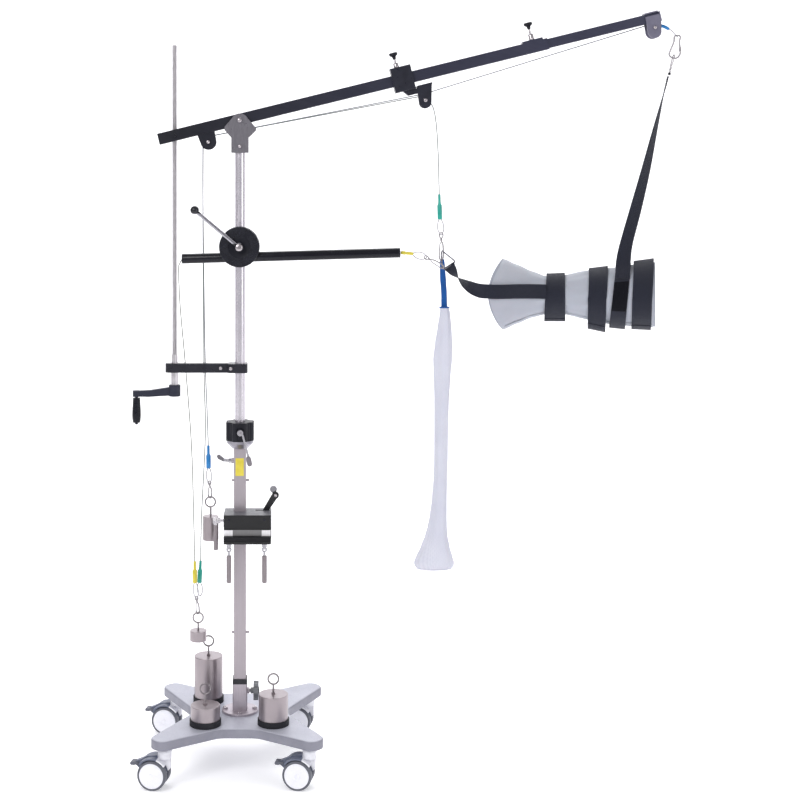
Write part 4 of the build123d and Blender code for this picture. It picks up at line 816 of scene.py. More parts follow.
# green drop line
gl = tube("drop_line_green", catmull([P(504.2, 0, 1748), P(506, 0, 1740), P(514, 0, 1722), P(521, 1, 1680), P(526, 3, 1600), P(529, 6, 1496)], 10), LINE_W / 1000, M_ROPE_G, "net_drop", 8)
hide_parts("green_drop_line")
ferrule("drop_ferrule_teal", P(529, 6.1, 1498), P(531, 8, 1431), M_F_GREEN, "net_drop")
eye_loop("drop_eye", P(531, 8, 1434), P(534.5, 8, 1390), 15, M_WIRE, "net_drop")
snap_hook("drop_hook", P(534.3, 8, 1396), P(534.5, 9, 1322), M_STEEL, "net_drop", 7.0, 2.0)

# ------------------------------------------------------------------ lines along the boom
ga = tube("boom_line_green", [P(-86.2, 4.9, 1650.9) + (P(488.6, 0, 1759.6) - P(-86.2, 4.9, 1650.9)) * (k / 40) for k in range(41)], LINE_W / 1000, M_ROPE_G, None, 8)
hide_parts("green_cable")
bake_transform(ga)
bb = tube("boom_line_blue_rear", [P(-86.2, -4.9, 1650.9) + (P(488.0, -3.4, 1764.2) - P(-86.2, -4.9, 1650.9)) * (k / 40) for k in range(41)], LINE_W / 1000, M_ROPE_B, None, 8)
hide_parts("blue_cable")
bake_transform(bb)
mid = P(488.0, -3.4, 1764.2) + (P(1093.4, 0, 1950.2) - P(488.0, -3.4, 1764.2)) * 0.5
b1 = tube("boom_line_blue_mid", [P(488.0, -3.4, 1764.2) + (mid - P(488.0, -3.4, 1764.2)) * (k / 24) for k in range(25)], LINE_W / 1000, M_ROPE_B, None, 8)
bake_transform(b1)
b2 = tube("boom_line_blue_front", [mid + (P(1093.4, 0, 1950.2) - mid) * (k / 24) for k in range(25)], LINE_W / 1000, M_ROPE_B, None, 8)
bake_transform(b2)


def wrap(name, cx, ch, y, r, a0, a1, mat, body):
    """Line resting in a sheave groove, from angle a0 to a1 (degrees, 90 is up)."""
    pts = [P(cx + r * math.cos(math.radians(a0 + (a1 - a0) * k / 16)), y, ch + r * math.sin(math.radians(a0 + (a1 - a0) * k / 16))) for k in range(17)]
    return tube(name, pts, LINE_W / 1000, mat, body, 8)


wrap("rear_wrap_blue", -83.5, 1636.5, -4.9, 14.7, 182, 100, M_ROPE_B, "boom")
wrap("rear_wrap_green", -83.5, 1636.5, 4.9, 14.7, 182, 100, M_ROPE_G, "boom")
wrap("mid_wrap_green", 491, 1747, 0, 12.7, 101, 2, M_ROPE_G, "carriage")
wrap("end_wrap_blue", 1097, 1939, 0, 11.7, 108, 45, M_ROPE_B, "extension")


# ------------------------------------------------------------------ forearm sleeve
def lerp(table, x):
    if x <= table[0][0]:
        return table[0][1:]
    for a, c in zip(table, table[1:]):
        if x <= c[0]:
            t = (x - a[0]) / (c[0] - a[0])
            t = t * t * (3 - 2 * t) * 0.4 + t * 0.6
            return tuple(p + (q - p) * t for p, q in zip(a[1:], c[1:]))
    return table[-1][1:]


# x, top height, bottom height, half depth
SLV = [(656, 1329, 1138, 78), (697, 1328, 1139, 79), (735, 1312, 1156, 70), (775, 1294, 1172, 58), (809, 1281, 1181, 52), (860, 1283, 1181, 52),
       (925, 1296, 1166, 61), (985, 1303, 1154, 71), (1040, 1311, 1149, 76), (1101, 1319, 1146, 79)]


def turned(x, y):
    """The sleeve hangs turned a little in its sling: the front shifts towards the wrist."""
    return 159 + (x - 159) * (1 + y / 4080)


def slv(x, th, off=0.0):
    """Point of the sleeve's surface: th 0 is the front, 90 degrees the top; off grows outward (mm)."""
    top, bot, ry = lerp(SLV, x)
    rz, hc = (top - bot) / 2, (top + bot) / 2
    y = -(ry + off) * math.cos(th)
    return P(turned(x, y), y, hc + (rz + off) * math.sin(th))


NT, NX = 88, 74
verts, faces = [], []
cols = []
for layer, off in ((0, 0.0), (1, -7.5)):
    for i in range(NX + 1):
        s = i / NX
        for k in range(NT):
            th = 2 * math.pi * k / NT
            xl = 658 + 37 * abs(math.sin(th)) ** 1.7
            x = xl + (1100.5 - xl) * s
            o_ = off
            endr = min(s, 1 - s) * NX
            if endr < 2:
                o_ = off + (-1.9 if layer == 0 else 1.9) * (1 - endr / 2) ** 2
            verts.append(slv(x, th, o_))
W = (NX + 1) * NT
for layer in (0, 1):
    for i in range(NX):
        for k in range(NT):
            l = (k + 1) % NT
            q = (layer * W + i * NT + k, layer * W + i * NT + l, layer * W + (i + 1) * NT + l, layer * W + (i + 1) * NT + k)
            faces.append(q if layer == 0 else tuple(reversed(q)))
for i in (0, NX):
    for k in range(NT):
        l = (k + 1) % NT
        q = (i * NT + k, W + i * NT + k, W + i * NT + l, i * NT + l)
        faces.append(q if i == 0 else tuple(reversed(q)))
sleeve = mesh_object("forearm_sleeve", verts, faces)
bm = bmesh.new()
bm.from_mesh(sleeve.data)
bmesh.ops.recalc_face_normals(bm, faces=bm.faces)
bm.to_mesh(sleeve.data)
bm.free()
BANDS = [("wrist_band", 813, 862, 807, 863, 3.5, 14.0, 0.0), ("forearm_band", 925, 976, 922, 969, 3.0, 19.0, 0.4), ("lift_band", 997, 1037, 979, 1021, 2.0, 5.0, 0.0), ("elbow_band", 1044, 1098, 1038, 1090, 6.5, 2.0, 0.2)]
rest_co = [v.co.copy() for v in sleeve.data.vertices]
group = sleeve.vertex_groups.new(name="held")
for v in sleeve.data.vertices:
    x = v.co.x * 1000
    th_s = (v.co.z * 1000 + 100 - 1233) / 90
    w = 0.0
    for (_, a0, a1, b0, b1, *_r) in BANDS:
        f = 0.5 - 0.5 * max(-1, min(1, th_s))
        lo, hi = a0 + (b0 - a0) * f, a1 + (b1 - a1) * f
        if lo - 3 < x < hi + 3:
            w = 1.0
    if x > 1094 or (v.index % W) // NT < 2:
        w = 1.0
    group.add([v.index], w, "REPLACE")
cl = sleeve.modifiers.new("cloth", "CLOTH")
cs = cl.settings
cs.quality = 4
cs.mass = 0.25
cs.tension_stiffness = 14
cs.compression_stiffness = 14
cs.shear_stiffness = 8
cs.bending_stiffness = 0.6
cs.use_pressure = True
cs.uniform_pressure_force = 4.0
cs.effector_weights.gravity = 0
cs.vertex_group_mass = "held"
cs.pin_stiffness = 1.0
cl.collision_settings.use_collision = False
cl.collision_settings.use_self_collision = False
sc = bpy.context.scene
sc.frame_start, sc.frame_end = 1, 20
for f in range(1, 21):
    sc.frame_set(f)
dg = bpy.context.evaluated_depsgraph_get()
ev = sleeve.evaluated_get(dg).to_mesh()
moved = [v.co.copy() for v in ev.vertices]
sleeve.evaluated_get(dg).to_mesh_clear()
sleeve.modifiers.remove(cl)
sc.frame_set(1)
CAP = 0.0045
for v, a, c in zip(sleeve.data.vertices, rest_co, moved):
    d = c - a
    if d.length > CAP:
        d = d * (CAP / d.length)
    v.co = a + d
sleeve.vertex_groups.clear()
# soft creases that gather towards the straps, worked into the mesh
for v, a in zip(sleeve.data.vertices, rest_co):
    x = a.x * 1000
    th = math.atan2(a.z * 1000 + 100 - 1233, -a.y * 1000)
    amp = 0.0
    for xc, wd, am in ((795, 26, 0.9), (884, 30, 0.8), (912, 16, 0.6), (986, 9, 0.4)):
        amp += am * math.exp(-((x - xc) / wd) ** 2)
    amp += 0.5 * math.exp(-((x - 720) / 40) ** 2)
    wr = math.sin(9 * th + x * 0.021 + 1.3 * math.sin(2 * th)) + 0.6 * math.sin(15 * th - x * 0.033)
    edge = min(1.0, ((v.index % W) // NT) / 5.0, (NX - (v.index % W) // NT) / 5.0)
    n = Vector((0, a.y, a.z + 0.1 - 1.233)).normalized()
    v.co += n * (0.001 * amp * wr * edge * (1 if v.index < W else 0.5))
sub = sleeve.modifiers.new("sub", "SUBSURF")
sub.levels = sub.render_levels = 1
apply_all(sleeve)

ms = Mat("sleeve_fabric")
co = ms.sep()
k = 2 * math.pi / 0.0013
wv = ms.math("MULTIPLY", ms.math("SINE", ms.math("MULTIPLY", co[0], k)), ms.math("SINE", ms.math("MULTIPLY", ms.math("ADD", co[2], ms.math("MULTIPLY", co[1], 0.6)), k)))
# lower part blended towards a greyer blue: painted shade on the underside
low = ms.ramp(co[2], 1.04, 1.20, 1, 0)
base = ms.mix(ms.ramp(wv, -1, 1, 0, 1), srgb(166, 170, 181), srgb(186, 189, 198))
base = ms.mix(ms.ramp(ms.noise(9, 5, 0.6), 0.3, 0.75, 0, 0.5), base, srgb(172, 176, 187))
base = ms.mix(ms.math("MULTIPLY", low, 0.35), base, srgb(152, 154, 168))
ms.set(color=base, rough=0.88, sheen=0.35, sheen_rough=0.5, spec=0.2, sub=0.03)
ms.bump(wv, 0.35, 0.0003)
ms.bump(ms.noise(55, 5, 0.6), 0.25, 0.0012)
ms.bump(ms.noise(2200, 3, 0.7), 0.2, 0.0002)
paint(sleeve, ms.m)
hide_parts("arm_sleeve")
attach(sleeve, "sling")

M_TAPE = weave_mat("binding_tape", (170, 174, 188), 0.0010, 0.8, 0.3, 0.5, 0.2)


def slv_tube(name, fx, off, r, mat):
    pts = [slv(fx(2 * math.pi * k / 96), 2 * math.pi * k / 96, off) for k in range(96)]
    return tube(name, pts, r / 1000, mat, "sling", 8, True)


slv_tube("sleeve_binding_left", lambda th: 660.5 + 37 * abs(math.sin(th)) ** 1.7, -3.4, 2.5, M_TAPE)
slv_tube("sleeve_binding_right", lambda th: 1098.8, -3.4, 2.5, M_TAPE)
# lengthwise closure: the overlapped edge of the sleeve, low on the front
flap = []
fl_v, fl_f = [], []
NS = 90
for i in range(NS + 1):
    x = 700 + (1096 - 700) * i / NS
    for (t0, off) in ((-1.02, 0.2), (-1.02, 1.9), (-1.30, 2.1), (-1.62, 1.4), (-1.62, -0.6), (-1.30, -0.4)):
        fl_v.append(slv(x, t0 + 0.02 * math.sin(x * 0.05), off + 0.25 * math.sin(x * 0.08)))
for i in range(NS):
    for k in range(6):
        l = (k + 1) % 6
        fl_f.append((i * 6 + k, i * 6 + l, (i + 1) * 6 + l, (i + 1) * 6 + k))
fl_f.append(tuple(range(5, -1, -1)))
fl_f.append(tuple(NS * 6 + k for k in range(6)))
flap = mesh_object("sleeve_closure_flap", fl_v, fl_f)
bm = bmesh.new()
bm.from_mesh(flap.data)
bmesh.ops.recalc_face_normals(bm, faces=bm.faces)
bm.to_mesh(flap.data)
bm.free()
sub = flap.modifiers.new("sub", "SUBSURF")
sub.levels = sub.render_levels = 1
apply_all(flap)
paint(flap, ms.m)
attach(flap, "sling")


# ------------------------------------------------------------------ straps
def strip(name, rows, mat, body, closed=False, bevel=0.0006):
    """Closed flat strip. rows: list of (centre, half width vector, half thickness vector)."""
    vs, fs = [], []
    n = len(rows)
    cols_ = (-1.0, -0.94, -0.5, 0.0, 0.5, 0.94, 1.0)
    ring = [(c, 1) for c in cols_] + [(c, -1) for c in reversed(cols_)]
    m_ = len(ring)
    for c, w, t in rows:
        for (a, sgn) in ring:
            k_ = 0.45 if abs(a) > 0.99 else 1.0
            vs.append(c + w * a + t * (sgn * k_))
    for i in range(n if closed else n - 1):
        j = (i + 1) % n
        for k in range(m_):
            l = (k + 1) % m_
            fs.append((i * m_ + k, i * m_ + l, j * m_ + l, j * m_ + k))
    if not closed:
        fs.append(tuple(range(m_ - 1, -1, -1)))
        fs.append(tuple((n - 1) * m_ + k for k in range(m_)))
    o = mesh_object(name, vs, fs)
    bm = bmesh.new()
    bm.from_mesh(o.data)
    bmesh.ops.recalc_face_normals(bm, faces=bm.faces)
    bm.to_mesh(o.data)
    bm.free()
    if hasattr(o.data, "set_sharp_from_angle"):
        o.data.set_sharp_from_angle(angle=math.radians(60))
    paint(o, mat)
    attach(o, body)
    return o


def stitches(name, points, normals, mat, body, length=0.0030, gap=0.0022, r=0.00038):
    """A row of sewn stitches along a path: short rounded threads, one mesh."""
    vs, fs = [], []
    acc = 0.0
    i = 0
    pts = points
    total = [0.0]
    for a, c in zip(pts, pts[1:]):
        total.append(total[-1] + (c - a).length)

    def at(s):
        for j in range(len(total) - 1):
            if s <= total[j + 1]:
                t = (s - total[j]) / max(total[j + 1] - total[j], 1e-9)
                return pts[j].lerp(pts[j + 1], t), normals[j].lerp(normals[j + 1], t).normalized()
        return pts[-1], normals[-1]
    s = gap
    while s + length < total[-1]:
        base_i = len(vs)
        secs = [(0.0, 0.25, -0.3), (0.18, 0.9, 0.35), (0.5, 1.0, 0.6), (0.82, 0.9, 0.35), (1.0, 0.25, -0.3)]
        for (f, rr, lift) in secs:
            p, nn = at(s + length * f)
            p2, _ = at(min(total[-1], s + length * f + 1e-4))
            tt = (p2 - p).normalized() if (p2 - p).length > 1e-9 else Vector((1, 0, 0))
            bb_ = tt.cross(nn).normalized()
            for k in range(5):
                a = 2 * math.pi * k / 5
                vs.append(p + nn * (lift * r) + (bb_ * math.cos(a) + nn * math.sin(a)) * (r * rr))
        for q in range(len(secs) - 1):
            for k in range(5):
                l = (k + 1) % 5
                fs.append((base_i + q * 5 + k, base_i + q * 5 + l, base_i + (q + 1) * 5 + l, base_i + (q + 1) * 5 + k))
        fs.append(tuple(base_i + k for k in reversed(range(5))))
        fs.append(tuple(base_i + (len(secs) - 1) * 5 + k for k in range(5)))
        s += length + gap
    o = mesh_object(name, vs, fs)
    bm = bmesh.new()
    bm.from_mesh(o.data)
    bmesh.ops.recalc_face_normals(bm, faces=bm.faces)
    bm.to_mesh(o.data)
    bm.free()
    paint(o, mat)
    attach(o, body)
    return o


def band_point(spec, f, th, off):
    """f runs 0..1 across the band's width."""
    name, a0, a1, b0, b1, e_top, e_bot, curl = spec
    g = 0.5 - 0.5 * math.sin(th)
    lo, hi = a0 + (b0 - a0) * g, a1 + (b1 - a1) * g
    x = lo + (hi - lo) * f + curl * 9 * math.sin(1.6 * th) * math.cos(th) ** 2 * 0.4
    extra = e_top * max(0.0, math.sin(th)) ** 4 + e_bot * max(0.0, -math.sin(th)) ** 5
    return slv(x, th, off + extra)


slp = None
for spec in BANDS:
    rows = []
    NB = 120
    for k in range(NB):
        th = 2 * math.pi * k / NB
        a, c = band_point(spec, 0, th, 2.2), band_point(spec, 1, th, 2.2)
        cen = band_point(spec, 0.5, th, 2.2)
        out = (band_point(spec, 0.5, th, 4.0) - band_point(spec, 0.5, th, 1.0)).normalized()
        rows.append((cen, (c - a) * 0.5, out * 0.0012))
    o = strip("strap_" + spec[0], rows, M_STRAP, "sling", closed=True)
    if slp is None:
        slp = o
        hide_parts("sling_straps")
    for e, f in enumerate((0.07, 0.93)):
        pts = [band_point(spec, f, 2 * math.pi * k / 240, 3.45) for k in range(241)]
        nrm_ = [(band_point(spec, f, 2 * math.pi * k / 240, 6) - band_point(spec, f, 2 * math.pi * k / 240, 1)).normalized() for k in range(241)]
        stitches(f"stitch_{spec[0]}_{e}", pts, nrm_, M_THREADL, "sling")
# hook and loop patch on the lift band, and its folded tail end
spec = BANDS[2]
rows = []
for k in range(31):
    th = math.asin(max(-1, min(1, (1271 - 1231) / 79))) + (math.asin((1197 - 1231) / 79) - math.asin((1271 - 1231) / 79)) * k / 30
    a, c = band_point(spec, 0.02, th, 4.3), band_point(spec, 0.97, th, 4.3)
    out = (band_point(spec, 0.5, th, 6.0) - band_point(spec, 0.5, th, 1.0)).normalized()
    rows.append((band_point(spec, 0.5, th, 4.3), (c - a) * 0.5, out * 0.0010))
strip("lift_band_patch", rows, M_PATCH, "sling")
rows = []
for k in range(25):
    th = math.radians(-25 - 62 * k / 24)
    a, c = band_point(spec, 0.0, th, 4.6), band_point(spec, 1.0, th, 4.6)
    out = (band_point(spec, 0.5, th, 6.0) - band_point(spec, 0.5, th, 1.0)).normalized()
    rows.append((band_point(spec, 0.5, th, 4.6), (c - a) * 0.5, out * 0.0011))
strip("lift_band_tail", rows, M_STRAP, "sling")
# tucked ends below the other bands
for (spec_i, t0, t1, nm) in ((0, -70, -118, "wrist_tail"), (1, -64, -100, "forearm_tail"), (3, -60, -96, "elbow_tail")):
    spec = BANDS[spec_i]
    rows = []
    for k in range(21):
        th = math.radians(t0 + (t1 - t0) * k / 20)
        lift = 4.4 + 1.6 * k / 20
        a, c = band_point(spec, 0.0, th, lift), band_point(spec, 1.0, th, lift)
        out = (band_point(spec, 0.5, th, lift + 3) - band_point(spec, 0.5, th, lift - 2)).normalized()
        rows.append((band_point(spec, 0.5, th, lift), (c - a) * 0.5, out * 0.0011))
    strip(nm, rows, M_STRAP, "sling")


def ribbon(name, ctrl, mat, body, t=0.0011, n=10):
    """ctrl: list of (centre mm tuple, half-width vector mm tuple)."""
    cen = catmull([P(turned(c[0], c[1]) if body == "sling" else c[0], c[1], c[2] - (6.5 * min(1, abs(c[1]) / 60) * (-1) if name == "front_strap" else 0)) for c, w in ctrl], n)
    wid = catmull([Vector(w) / 1000 for c, w in ctrl], n)
    rows = []
    for i, (c, w) in enumerate(zip(cen, wid)):
        tan_ = (cen[min(i + 1, len(cen) - 1)] - cen[max(i - 1, 0)]).normalized()
        nn = tan_.cross(w)
        nn = nn.normalized() if nn.length > 1e-9 else Vector((0, -1, 0))
        rows.append((c, w, nn * t))
    return strip(name, rows, mat, body), cen, wid, [r_[2].normalized() for r_ in rows]


# long front strap, sewn at the wrist and twisted towards its triangle ring
o, cen, wid, nn = ribbon("front_strap", [((811.5, -55.2, 1238.5), (0, 0, 18.8)), ((804, -56.0, 1238.7), (0, 0, 18.8)), ((790, -58.5, 1239), (0, 0, 18.8)), ((765, -64.6, 1239.5), (0, 0, 18.8)),
                                         ((735, -73.5, 1240), (0, 0, 18.7)), ((705, -80.8, 1240), (0, 0, 18.6)), ((676, -82.8, 1240), (0, 0, 18.6)), ((655, -78.5, 1240.5), (0, 0, 18.7)), ((634, -66, 1241.5), (0.5, 0, 18.6)),
                                         ((612, -47, 1249.5), (4, 8, 15)), ((594, -32, 1261), (5.5, 14, 8)), ((579, -22, 1275), (1.5, 17, -0.5)), ((567, -17, 1290), (-7, 12, -7)), ((553, -15, 1309.5), (-13.6, 2, -9))],
                         M_STRAP, "sling")
for e, s_ in enumerate((-0.86, 0.86)):
    stitches(f"stitch_front_strap_{e}", [c + w * s_ + n_ * -0.00115 for c, w, n_ in zip(cen, wid, nn)][:-30], [-n_ for n_ in nn][:-30], M_THREADL, "sling")
tri = [P(535, -16, 1349), P(539, -16, 1345.5), P(566, -16, 1324), P(568, -16, 1319.5), P(565, -16, 1316), P(540, -16, 1300.5), P(536, -16, 1302), P(534.5, -16, 1308), P(532.5, -16, 1340), P(533, -16, 1346)]
tube("front_strap_ring", tri, 0.0019, steel_mat("dark_ring", (120, 118, 128), 0.25, 0), "sling", 10, True)
# hanging strap: two legs meet at the swivel
for tag, sy in (("front", -1.0), ("back", 1.0)):
    ctrl = [((1135.2, sy * 0.8, 1811), (0.8, 9.5 * 1.0, 0.2)), ((1131, sy * 1.5, 1792), (1.2, 10, 0.3)), ((1122, sy * 3.5, 1757), (3.0, 11.0, 0.7)), ((1101, sy * 8, 1670), (9.4, 12.5, 2.0)),
            ((1075.5, sy * 14, 1560), (15.2, 10.0, 3.3)), ((1047, sy * 23, 1450), (18.2, 5.5, 4.0)), ((1024, sy * 33, 1365), (18.6, 2.5, 4.2)), ((1017, sy * 43, 1322), (19.4, 0, 2.0)), ((1015.5, sy * 55, 1296), (19.6, 0, 0.4)), ((1015, sy * 63, 1279), (19.6, 0, 0))]
    o, cen, wid, nn = ribbon("lift_strap_" + tag, ctrl, M_STRAP, "sling")
    for e, s_ in enumerate((-0.86, 0.86)):
        off_ = 0.00115 if (nn[len(nn) // 2].y * sy) > 0 else -0.00115
        stitches(f"stitch_lift_{tag}_{e}", [c + w * s_ + n_ * off_ for c, w, n_ in zip(cen, wid, nn)], [n_ * (1 if off_ > 0 else -1) for n_ in nn], M_THREADL, "sling")
lathe("lift_strap_knot", [(0, 1.2), (1.2, 3.0), (3.4, 3.9), (6.0, 3.6), (8.0, 2.0)], P(1138.3, 0, 1813.5), P(1141, 0, 1828) - P(1138.3, 0, 1813.5), M_BLACK, "sling", 20)
snap_hook("lift_hook", P(1139.4, 0, 1821), P(1151.5, 0, 1868), M_STEEL, "sling", 3.0, 1.7)
cara = [P(1160.5, 0, 1919), P(1153, 0, 1917.5), P(1151.6, 0, 1908), P(1150, 0, 1900), P(1143.5, 0, 1884), P(1138.8, 0, 1872), P(1140.2, 0, 1865), P(1147, 0, 1860), P(1155, 0, 1858.8), P(1162, 0, 1862), P(1167, 0, 1870), P(1168, 0, 1880), P(1166.4, 0, 1893), P(1165.8, 0, 1905), P(1168.2, 0, 1914), P(1166, 0, 1918.6)]
cl_ = []
for i in range(len(cara)):
    p0, p1, p2, p3 = cara[i - 1], cara[i], cara[(i + 1) % len(cara)], cara[(i + 2) % len(cara)]
    for k in range(4):
        t = k / 4
        cl_.append(0.5 * ((2 * p1) + (p2 - p0) * t + (2 * p0 - 5 * p1 + 4 * p2 - p3) * t * t + (3 * p1 - p0 - 3 * p2 + p3) * t ** 3))
tube("carabiner", cl_, 0.0022, M_STEEL, "sling", 12, True)
lathe("carabiner_sleeve", [(0, 2.6), (0.8, 3.4), (11, 3.4), (12, 2.6)], P(1167.6, 0, 1877), (-0.06, 0, 1), M_STEEL, "sling", 24)
tube("boom_tip_wire", catmull([P(1136, 0, 1938), P(1146, 0, 1931), P(1154, 0, 1922), P(1160, 0, 1916)], 6), 0.0016, M_WIRE, "sling", 8)
tube("boom_tip_wire_b", catmull([P(1136, 1.6, 1938), P(1147, 1.9, 1930), P(1156, 1.6, 1920), P(1161, 0, 1915)], 6), 0.0012, M_WIRE, "sling", 8)
fp = catmull([P(1105.5, 0, 1947.5), P(1113, 0, 1946), P(1126, 0, 1942.5), P(1138, 0, 1936)], 5)
tube("boom_tip_ferrule", fp, [0.0022, 0.0024, 0.0026, 0.0030, 0.0034, 0.0038, 0.0041, 0.0043, 0.0044, 0.0044, 0.0044, 0.0044, 0.0043, 0.0042, 0.0040, 0.0034][:len(fp)], M_F_BLUE, "sling", 16)

# ------------------------------------------------------------------ cross line hook at the tube's front
eye_loop("front_eye_yellow", P(455, -38, 1342.3), P(492, -38, 1333), 17, M_WIRE, "cross_tube", 1.5)
snap_hook("front_hook_yellow", P(486, -38, 1335.5), P(537, -38, 1306), M_STEEL, "cross_tube", 6.5, 1.8)

# ------------------------------------------------------------------ hand net
NETP = [(1198, 11.5, 7.5, 543), (1180, 13.5, 8.5, 544.5), (1140, 18.5, 10.5, 543), (1100, 22.5, 12, 540.5), (1059, 24.3, 12.5, 538.5), (1010, 21.5, 12, 537.5), (953, 19, 11, 537), (880, 18.2, 10.5, 536),
        (802, 18, 10.5, 535), (740, 18.3, 11, 533), (680, 20, 12.5, 530.5), (640, 22.5, 14, 528), (615, 25, 15.5, 526), (590, 29, 16.5, 523.5), (560, 37, 17.5, 520.5), (532, 47, 17.8, 517.8), (519, 51.5, 17.5, 517), (509, 51, 16, 516.8), (501, 44, 13.5, 516.5), (497.5, 36, 10.5, 516.4)]
NETP = [(-h, a, c, x) for h, a, c, x in NETP]


def net_pt(h, th, off=0.0):
    rx, ry, xc = lerp(NETP, -h)
    fold = 1 + 0.05 * math.sin(5 * th + h * 0.006) + 0.035 * math.sin(8 * th - h * 0.011)
    return P(xc + (rx * fold + off) * math.cos(th), 16 - (ry * fold * (1 + 0.10 * math.sin(3 * th + 0.9 + h * 0.004)) + off) * math.sin(th), h)


nv, nf = [], []
NH, NA = 150, 72
hs = [1198 - (1198 - 497.5) * (i / NH) for i in range(NH + 1)]
for layer, off in ((0, 0.0), (1, -1.3)):
    for h in hs:
        for k in range(NA):
            nv.append(net_pt(h, 2 * math.pi * k / NA, off))
WN = (NH + 1) * NA
for layer in (0, 1):
    for i in range(NH):
        for k in range(NA):
            l = (k + 1) % NA
            nf.append((layer * WN + i * NA + k, layer * WN + i * NA + l, layer * WN + (i + 1) * NA + l, layer * WN + (i + 1) * NA + k))
for i in (0, NH):
    for k in range(NA):
        l = (k + 1) % NA
        nf.append((i * NA + k, WN + i * NA + k, WN + i * NA + l, i * NA + l))
net = mesh_object("hand_net_mesh", nv, nf)
bm = bmesh.new()
bm.from_mesh(net.data)
bmesh.ops.recalc_face_normals(bm, faces=bm.faces)
bm.to_mesh(net.data)
bm.free()
mn = Mat("net_knit")
co = mn.sep()
ang = mn.node("ShaderNodeMath", operation="ARCTAN2")
mn.put(ang.inputs[0], mn.math("SUBTRACT", co[1], 0.016))
mn.put(ang.inputs[1], mn.math("SUBTRACT", co[0], 0.533))
zz = mn.math("MULTIPLY", co[2], 2 * math.pi / 0.0034)
aa = mn.math("MULTIPLY", ang.outputs[0], 22.0)
d1 = mn.math("ABSOLUTE", mn.math("SINE", mn.math("MULTIPLY", mn.math("ADD", zz, aa), 0.5)))
d2 = mn.math("ABSOLUTE", mn.math("SINE", mn.math("MULTIPLY", mn.math("SUBTRACT", zz, aa), 0.5)))
thr = mn.math("MINIMUM", d1, d2)
hole = mn.ramp(thr, 0.35, 0.62, 0, 1)
soft = mn.ramp(mn.noise(10, 5, 0.6), 0.3, 0.75, 0, 1)
c0 = mn.mix(soft, srgb(228, 227, 236), srgb(214, 213, 226))
mn.set(color=mn.mix(mn.math("MULTIPLY", hole, 0.55), c0, srgb(186, 185, 202)), rough=0.82, sheen=0.4, sheen_rough=0.4, spec=0.25, sub=0.05)
mn.bump(mn.math("SUBTRACT", 1.0, hole), 0.55, 0.0005)
mn.bump(mn.noise(70, 4, 0.6), 0.2, 0.001)
paint(net, mn.m)
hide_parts("hand_net")
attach(net, "net_drop")
hem = [net_pt(501, 2 * math.pi * k / 96, 0.2) for k in range(96)]
tube("hand_net_hem", hem, 0.0014, mn.m, "net_drop", 8, True)
M_BLUEW = weave_mat("blue_webbing", (18, 100, 190), 0.0013, 0.75, 0.3, 0.7, 0.22)
o, cen, wid, nn = ribbon("net_strap", [((537, 13.0, 1324.5), (5.4, 0, 0.6)), ((538, 12.2, 1312), (6.4, 0, 0.3)), ((538.4, 12.6, 1295), (7.2, 0.5, 0)), ((540, 14, 1270), (7.9, -0.8, 0)), ((541.5, 15.2, 1254), (7.4, 1.6, 0)), ((542.8, 15.4, 1240), (7.2, -1.0, 0)), ((542.8, 16, 1218), (7.7, 0, 0)), ((543.2, 16, 1196), (8.0, 0, 0))], M_BLUEW, "net_drop", 0.0012, 8)
o2, _, _, _ = ribbon("net_strap_back", [((537, 14.4, 1324.5), (5.4, 0, 0.6)), ((538, 16.6, 1312), (6.4, 0, 0.3)), ((538.8, 18.4, 1295), (7.0, -0.5, 0)), ((540, 19.2, 1270), (7.6, 0.8, 0)), ((541.5, 19.4, 1250), (7.3, -1.2, 0)), ((543, 19.4, 1225), (7.5, 0, 0)), ((543.2, 19.0, 1196), (7.8, 0, 0))], M_BLUEW, "net_drop", 0.0012, 8)
for e, s_ in enumerate((-0.8, 0.8)):
    stitches(f"stitch_net_strap_{e}", [c + w * s_ + n_ * (-0.00125 if nn[5].y > 0 else 0.00125) for c, w, n_ in zip(cen, wid, nn)], [n_ * (-1 if nn[5].y > 0 else 1) for n_ in nn], plastic_mat(f"blue_thread_{e}", (14, 70, 140), 0.6), "net_drop")
gather = [net_pt(1196.5, 2 * math.pi * k / 48, 0.6) for k in range(48)]
tube("net_gather", gather, 0.0017, M_BLUEW, "net_drop", 8, True)

# ------------------------------------------------------------------ floor, light, camera
XP = 300.0
XC = (XP - 240.0) * 2.65 / 1000
FLOOR = -0.1001
floor_v = []
R_ = 0.9
prof = [(-5.0, 0.0), (3.2, 0.0)] + [(3.2 + R_ * math.sin(math.radians(a)), R_ - R_ * math.cos(math.radians(a))) for a in range(6, 91, 6)] + [(3.2 + R_, 7.0)]
vs, fs = [], []
for (y, z) in prof:
    vs.append((-9, y, FLOOR + z))
    vs.append((9, y, FLOOR + z))
for i in range(len(prof) - 1):
    fs.append((2 * i, 2 * i + 1, 2 * i + 3, 2 * i + 2))
floor = mesh_object("studio_floor", vs, fs)
fm = Mat("studio_paper")
fm.set(color=fm.mix(fm.ramp(fm.noise(3, 3), 0.3, 0.7, 0, 1), srgb(246, 246, 248), srgb(249, 249, 251)), rough=0.95, spec=0.1)
fm.b.inputs["Emission Color"].default_value = (1.0, 1.0, 1.0, 1.0)
fm.b.inputs["Emission Strength"].default_value = 0.34
paint(floor, fm.m)


def area(name, loc, target, size, power, color=(1, 1, 1)):
    l = bpy.data.lights.new(name, "AREA")
    l.shape = "RECTANGLE"
    l.size, l.size_y = size
    l.energy = power
    l.color = color
    o = link(bpy.data.objects.new(name, l))
    o.location = loc
    o.rotation_euler = (Vector(target) - Vector(loc)).to_track_quat("-Z", "Y").to_euler()
    return o


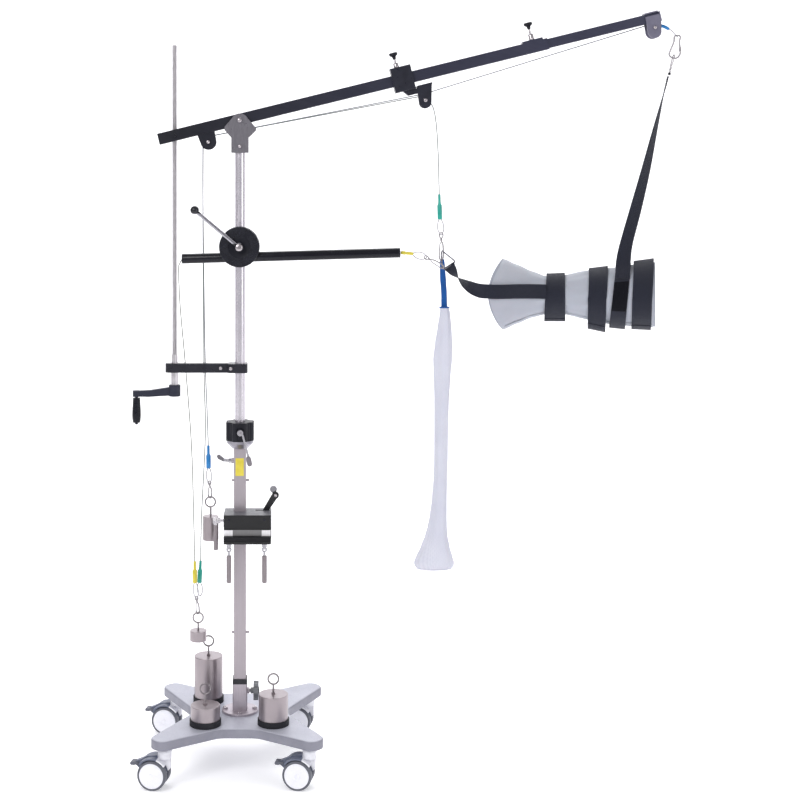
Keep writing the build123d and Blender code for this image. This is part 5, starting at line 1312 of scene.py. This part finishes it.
area("key", (-1.7, -2.9, 3.0), (0.3, 0, 0.8), (1.8, 2.0), 70)
area("fill", (3.4, -2.4, 1.8), (0.4, 0, 0.8), (2.2, 2.4), 33)
area("rim", (0.4, 2.0, 3.4), (0.3, 0, 0.8), (2.6, 1.2), 30)
area("back_wash", (0.4, 0.9, 3.3), (0.4, 3.6, 0.9), (5.0, 1.6), 60)
world = bpy.data.worlds.new("studio")
bpy.context.scene.world = world
world.use_nodes = True
wt = world.node_tree
bg = wt.nodes["Background"]
grad = wt.nodes.new("ShaderNodeTexGradient")
tc = wt.nodes.new("ShaderNodeTexCoord")
mpw = wt.nodes.new("ShaderNodeMapping")
mpw.inputs["Rotation"].default_value = (0, math.radians(90), 0)
wt.links.new(tc.outputs["Generated"], mpw.inputs["Vector"])
wt.links.new(mpw.outputs["Vector"], grad.inputs["Vector"])
cr = wt.nodes.new("ShaderNodeValToRGB")
cr.color_ramp.elements[0].color = (0.80, 0.80, 0.83, 1)
cr.color_ramp.elements[1].color = (1.0, 1.0, 1.0, 1)
wt.links.new(grad.outputs["Fac"], cr.inputs["Fac"])
wt.links.new(cr.outputs["Color"], bg.inputs["Color"])
bg.inputs["Strength"].default_value = 0.5

cam_d = bpy.data.cameras.new("camera")
cam = link(bpy.data.objects.new("camera", cam_d))
cam_d.sensor_width = 36.0
cam_d.lens = 69.2
cam.location = (XC, -4.080, 1.489)
cam.rotation_euler = (math.radians(90), 0, 0)
cam_d.clip_end = 60
bpy.context.scene.camera = cam
# the lens is shifted only while the camera stands at this place
for prop, val in (("shift_x", (400.0 - XP) / 800.0), ("shift_y", -0.30)):
    dr = cam_d.driver_add(prop).driver
    dr.type = "SCRIPTED"
    var = dr.variables.new()
    var.name = "cx"
    var.type = "TRANSFORMS"
    var.targets[0].id = cam
    var.targets[0].transform_type = "LOC_Y"
    var.targets[0].transform_space = "WORLD_SPACE"
    dr.expression = f"{val} if abs(cx + 4.08) < 0.0005 else 0.0"
bpy.context.scene.view_settings.view_transform = "Standard"
bpy.context.scene.view_settings.look = "None"

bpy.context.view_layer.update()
